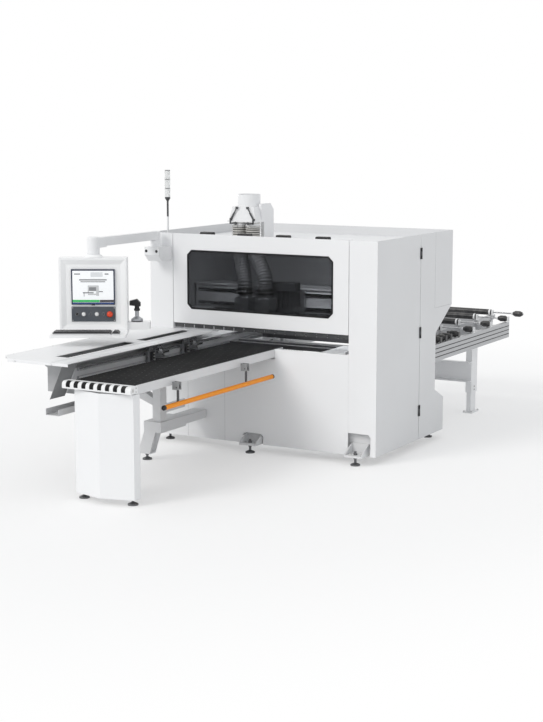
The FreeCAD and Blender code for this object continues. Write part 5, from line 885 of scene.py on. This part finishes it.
upper_clamps, lower_clamps, cuffs = Shell(), Shell(), Shell()
for (x0, y0), (x1, y1), high, low in HOSE_ROUTES:
    clamp(upper_clamps, x0, y0, 1980, HOSE_OUTER + 0.5)
    clamp(upper_clamps, x0, y0, 2014, 66.5)
    clamp(lower_clamps, x1, y1, 1392, HOSE_OUTER + 3)
    cuffs.collar(facing("top", x1, y1, HOSE_END), HOSE_OUTER + 2.5, HOSE_OUTER + 0.3, 52, edge=1.5)
piece("hose_clamps_upper", upper_clamps, zinc_steel, "machine")
piece("hose_clamps_lower", lower_clamps, zinc_steel, "top_carriage")
piece("hose_cuffs", cuffs, black_rubber, "top_carriage")

# %% [markdown]
# ### Lower ends of the hood struts
#
# Each strut of the dust hood ends in a drop link, with a short arm under the rim that turns on a bush.

# %% Strut ends
HOOD_MIDDLE, HOOD_FRONT = -1664, 553
strut_ends = Shell()
for way in (-1, 1):
    outer = HOOD_MIDDLE + way * 122
    strut_ends.block(facing("front", outer, HOOD_FRONT, 2032), 15, 56, 7, corner=6)
    strut_ends.block(facing("front", outer - way * 26, HOOD_FRONT, 2011), 66, 13, 7, corner=6)
    strut_ends.turned(facing("front", outer - way * 56, HOOD_FRONT + 4, 2011),
                      [(14, 0), (14, 10), (11, 12), (5, 12)])
piece("strut_ends", strut_ends, dark_paint, "machine")

# %% [markdown]
# ## Sheets of the body
#
# The window is glazed with a black rubber section that grips the sheet and the glass. The rest is plain, apart
# from the joints where two sheets meet: dark lines hardly wider than a pencil's.

# %% Window seal
WINDOW_MIDDLE = (-1168.5, 1528.5)
WINDOW_SIZE = (1481, 529, 42)
SEAL_OUT, SEAL_IN, SEAL_PROUD = 5, 11, 3.5


def window_outline(grow):
    """Window outline moved out by some millimetres."""
    wide, high, cut = WINDOW_SIZE
    return chamfered(wide + 2 * grow, high + 2 * grow, cut + grow * (2 - math.sqrt(2)))


seal = Shell()
seal.stack(facing("front", WINDOW_MIDDLE[0], 0, WINDOW_MIDDLE[1]), [
    (window_outline(grow), height) for grow, height in (
        (SEAL_OUT, 0), (SEAL_OUT, SEAL_PROUD - 1), (SEAL_OUT - 1.2, SEAL_PROUD), (1.2 - SEAL_IN, SEAL_PROUD),
        (-SEAL_IN, SEAL_PROUD - 1.2), (-SEAL_IN, -3), (0, -3))], closed=True)
piece("window_seal", seal, black_rubber, "door")

# %% Panel joints
BACK_FACE = 1622
JOINT = 1.6
joint_shade = moulded("joint_shade", (0.30, 0.30, 0.31), 0.7, handled=0.0, dust=0.2)
joints = Shell()
for side, x, y, z, wide, high in (("front", -1521, 0, 468, JOINT, 776), ("front", -1916, 0, 468, JOINT, 776),
                                  ("right", 0, 1225, 1596, JOINT, 690), ("right", 0, 1423, 1249, 390, JOINT),
                                  ("back", -772, BACK_FACE, 1597, JOINT, 690),
                                  ("back", -1543, BACK_FACE, 1597, JOINT, 690)):
    joints.block(facing(side, x, y, z), wide, high, 0.3, corner=0.2, edge=0.1)
piece("panel_joints", joints, joint_shade, "machine")

# %% [markdown]
# ### Back of the body
#
# The back was out of the camera's sight, so its detail is a guess: quarter-turn locks hold the three upper
# panels, and louvres at the foot let the cabinet breathe.

# %% Locks and louvres
locks, louvres = Shell(), Shell()
for x in (-60, -712, -832, -1483, -1603, -2255):
    for z in (1320, 1880):
        locks.turned(facing("back", x, BACK_FACE, z), [(15, 0), (15, 2), (13, 4), (5, 4), (5, 9), (4, 10)])
        locks.block(facing("back", x, BACK_FACE + 4, z), 22, 5, 5, corner=2)
for x in (-1840, -475):
    for k in range(9):
        louvres.block(facing("back", x, 1456, 170 + 18 * k), 190, 7, 5, corner=3, edge=2)
piece("panel_locks", locks, black_plastic, "machine")
piece("louvres", louvres, grey_panel, "machine")

# %% [markdown]
# ## Feet
#
# The body stands on levelling feet in welded brackets, each held by hexagon bolts beside the stem. The legs of
# the outfeed are bolted to the floor through their foot plates.

# %% Foot bolts
foot_bolts = Shell()
for x in (-1227, -171):
    for shift in (-52, 52):
        foot_bolts.hex_bolt(facing("top", x + shift, -40, 93), 9, 8)
for x in (-288, -206, -1539, -1457):
    for y in (2680, 2845):
        foot_bolts.hex_bolt(facing("top", x, y, 14), 7, 7)
piece("foot_bolts", foot_bolts, zinc_steel, "machine")

# %% [markdown]
# ## Console
#
# The screen shows a plain start page: a white sheet with a heading of two grey lines, a small block drawing of
# a machine, and a green and a blue band below. The page and its marks are thin plates in front of the screen's
# dark border, each set a fraction of a millimetre before the last so that none of them flickers.

# %% Screen page
SCREEN_FACE = -78.0
PAGE_LAYERS = {
    "screen_page": ((0.86, 0.875, 0.89), 0.0, [(-175, 242, 175, 521)]),
    "screen_tab": ((0.62, 0.64, 0.66), 0.3, [(-20, 468, 84, 508)]),
    "screen_marks": ((0.20, 0.205, 0.215), 0.6, [
        (-118, 438, 118, 449), (-106, 423, 106, 431), (-160, 488, -108, 498), (100, 488, 134, 498),
        (-34, 348, 26, 380), (-88, 328, 4, 338), (48, 338, 84, 347)]),
    "screen_drawing": ((0.50, 0.51, 0.52), 0.5, [(-46, 380, 50, 396), (26, 306, 50, 380), (-46, 338, -34, 380),
                                                 (-46, 312, 26, 326), (-82, 300, -72, 328)]),
    "screen_band_green": ((0.03, 0.42, 0.10), 0.3, [(-176, 252, 54, 272)]),
    "screen_band_dark": ((0.045, 0.04, 0.045), 0.35, [(56, 252, 176, 272)]),
    "screen_band_blue": ((0.025, 0.05, 0.16), 0.4, [(-176, 235, 176, 250)]),
}


def lit_page(name, color):
    """Printed or lit page colour: a little light of its own, a faint grid of cells and a soft sheen."""
    material, made, shade = start_finish(name, Emission_Strength=0.25)
    mottle = made.tint(made.ramp(made.noise(900.0, 1.0), 0.3, 0.7, 0.0, 0.05), deeper(color, 1),
                       deeper(color, 0.6))
    made.feed(shade, {"Base Color": mottle, "Emission Color": mottle,
                      "Roughness": made.ramp(made.noise(40.0, 3.0), 0.3, 0.7, 0.18, 0.3)})
    return material


for name, (color, lift, plates) in PAGE_LAYERS.items():
    shell = Shell()
    for x0, z0, x1, z1 in plates:
        place = facing("front", (x0 + x1) / 2, SCREEN_FACE - lift, (z0 + z1) / 2, CONSOLE)
        shell.block(place, x1 - x0, z1 - z0, 0.4, corner=1.5, edge=0.1)
    piece(name, shell, lit_page(name, color), "console")
notch = Shell()
notch_outline = [(-19, 8), (-13, -4), (13, -4), (19, 8)]
notch.stack(facing("front", 0, SCREEN_FACE, 228, CONSOLE), [(notch_outline, 0), (notch_outline, 1.2)])
piece("screen_notch", notch, black_plastic, "console")

# %% [markdown]
# ### Buttons
#
# Each button stands in a turned collar, and the emergency button on a flat dark ring. Small cap screws hold the
# plate at its corners.

# %% Collars and screws
PLATE_FACE = -70.0
BUTTON_LINE = 148


def button_seat(x):
    """Place on the button plate, at the height of the buttons."""
    return facing("front", x, PLATE_FACE, BUTTON_LINE, CONSOLE)


collars, stop_ring, plate_screws = Shell(), Shell(), Shell()
for x, outer, inner, high, edge in ((-84, 19.5, 15.8, 6, 1), (28, 19.5, 15.8, 6, 1), (-28, 13.5, 11.2, 3, 0.8),
                                    (84, 13.5, 11.2, 3, 0.8), (-140, 14.5, 11.8, 3, 0.8)):
    collars.collar(button_seat(x), outer, inner, high, edge)
piece("button_collars", collars, spindle_steel, "console")
stop_ring.collar(button_seat(140), 33, 20.5, 2.5, edge=0.8)
piece("stop_ring", stop_ring, panel_grey, "console")
for x in (-178, 178):
    for z in (94, 202):
        plate_screws.bolt(facing("front", x, PLATE_FACE, z, CONSOLE), 4.5, 1.6)
piece("plate_screws", plate_screws, zinc_steel, "console")

# %% [markdown]
# ### Wall bracket
#
# Two black plugs close the cable holes in the bracket's front face.

# %% Bracket plugs
plugs = Shell()
for x in (-2222, -2112):
    plugs.turned(facing("front", x, -203, 1788), [(13, 0), (13, 2), (11, 4), (4, 5)])
piece("bracket_plugs", plugs, black_plastic, "machine")

# %% [markdown]
# ## Infeed table
#
# The black board is full of small bushings. Air blown through them lifts the panel a hair, so it slides without
# scratching. Each bushing is a turned ring that stands a few tenths proud.

# %% Air bushings
BUSHING_PITCH = (70, 92)
TABLE_FACE = 950
bushings = Shell()
columns = [-1550 + BUSHING_PITCH[0] * k for k in range(8)]
rows = [-2090 + BUSHING_PITCH[1] * k for k in range(22)]
for number, y in enumerate(rows):
    for x in columns:
        shift = BUSHING_PITCH[0] / 2 if number % 2 and x != columns[-1] else 0
        bushings.turned(facing("top", x + shift, y, TABLE_FACE),
                        [(6, 0), (6, 0.3), (5.4, 0.6), (3, 0.6), (2.6, 0.1)], 10)
piece("air_bushings", bushings, black_plastic, "machine")
print(len(rows) * len(columns), "bushings")

# %% [markdown]
# ### Nose and safety bar
#
# The axle of the nose rollers ends in a cap at each side of the nose, between two screws. The safety bar has a
# black cap on each end.

# %% Nose caps and bar ends
nose_caps, bar_ends = Shell(), Shell()
for side, x in (("right", -990), ("left", -1640)):
    nose_caps.turned(facing(side, x, -2215, 917), [(13, 0), (13, 2.5), (10, 4), (4, 4.5)])
    for z in (905, 934):
        nose_caps.bolt(facing(side, x, -2172, z), 5.5, 4)
piece("nose_caps", nose_caps, zinc_steel, "machine")
for side, y in (("front", -1842), ("back", -111)):
    bar_ends.turned(facing(side, -960, y, 727), [(20.4, -16), (20.4, 0), (18, 3), (8, 4)])
piece("bar_caps", bar_ends, black_plastic, "trip_bar")

# %% [markdown]
# ### Cover and grippers
#
# The broad sheet over the gripper beam is held by flat screws along both edges. On each gripper, the side that
# faces the table carries black valve blocks with push-in air fittings, held by cap screws.

# %% Cover screws, valves and fittings
COVER_FACE = 1068
cover_screws = Shell()
for x, first, pitch in ((-2346, -1960, 260), (-1652, -2010, 285)):
    for k in range(8):
        cover_screws.bolt(facing("top", x, first + pitch * k, COVER_FACE), 5.5, 1.6)
piece("cover_screws", cover_screws, zinc_steel, "machine")

GRIP_PLATE, GRIP_FACE = -1683.6, -1655.6
for body, middle in (("front_grip", -860), ("rear_grip", -320)):
    screws, fittings, valves = Shell(), Shell(), Shell()
    valves.block(facing("right", GRIP_FACE, middle, 926), 92, 34, 16, corner=3)
    for y in (-34, -12, 12, 34):
        screws.turned(facing("right", GRIP_FACE + 16, middle + y, 926), [(6, 0), (6, 4), (3, 4.5)], 16)
    for way in (-1, 1):
        valves.block(facing("right", GRIP_PLATE, middle + way * 77, 964), 36, 80, 24, corner=3)
        valves.block(facing("right", GRIP_FACE, middle + way * 38, 1020), 20, 14, 10)
        for y in (66, 89):
            for z in (908, 1024):
                screws.bolt(facing("right", GRIP_PLATE, middle + way * y, z), 5.5, 5)
        for z in (938, 964, 990):
            fittings.turned(facing("right", GRIP_PLATE + 24, middle + way * 77, z),
                            [(6.4, 0), (6.4, 9), (7.4, 9.5), (7.4, 12), (3, 12.5)], 16)
    piece(f"{body}_valves", valves, black_plastic, body)
    piece(f"{body}_screws", screws, zinc_steel, body)
    piece(f"{body}_fittings", fittings, zinc_steel, body)

# %% [markdown]
# ## Outfeed
#
# The long rails are slotted aluminium sections. Black strips in the slots are painted shade: they draw the dark
# lines of the shaded slots along the rails. A plastic cap closes each end. The roller rows turn in holders that
# are bolted to the inner rails.

# %% Painted slot shade, rail caps and holder bolts
ROWS = {"roller_row_1": 3694, "roller_row_2": 3256, "roller_row_3": 2775, "roller_row_4": 2314}
slot_shade_and_caps, holder_bolts = Shell(), Shell()
# The black strips in the three slots are painted shade: they stand for the shade inside the open slots.
for z in (766, 806, 846):
    for side, x in (("right", -51), ("left", -1694)):
        slot_shade_and_caps.block(facing(side, x, 2202, z), 2140, 8.6, 4, corner=0.5, edge=0.4)
for x in (-65, -1680):
    for side, y in (("back", 3274), ("front", 1130)):
        slot_shade_and_caps.block(facing(side, x, y, 806), 39, 159, 3, corner=3, edge=0.8)
piece("slot_shade_strips_and_caps", slot_shade_and_caps, black_plastic, "machine")
for number, y in enumerate(ROWS.values()):
    for shift in (-13, 13):
        holder_bolts.bolt(facing("right", -386, y + shift, 866), 5.5, 5)
        if number:
            holder_bolts.bolt(facing("right", -45, y + shift, 900), 4, 3)
for z in (236, 268):
    for side, x in (("right", -215), ("left", -1530)):
        holder_bolts.hex_bolt(facing(side, x, 2762, z), 8, 7)
piece("holder_bolts", holder_bolts, zinc_steel, "machine")

# %% [markdown]
# ### Row ends
#
# Each rubber bar ends in a light plastic sleeve, and a clamp collar keeps the bevelled wheel in its place on
# the shaft.

# %% Sleeves and clamp collars
ROLLER_LINE = 919
for body, y in ROWS.items():
    ends = Shell()
    for x in (-432, -1562):
        ends.collar(facing("right", x, y, ROLLER_LINE), 31.7, 30.4, 18, edge=0.5)
    ends.collar(facing("right", -176, y, ROLLER_LINE), 15, 8.4, 14, edge=1)
    piece(f"{body}_sleeves", ends, white_plastic, body)

# %% [markdown]
# ## Finish
#

# %% Finish
print("machine dressed")
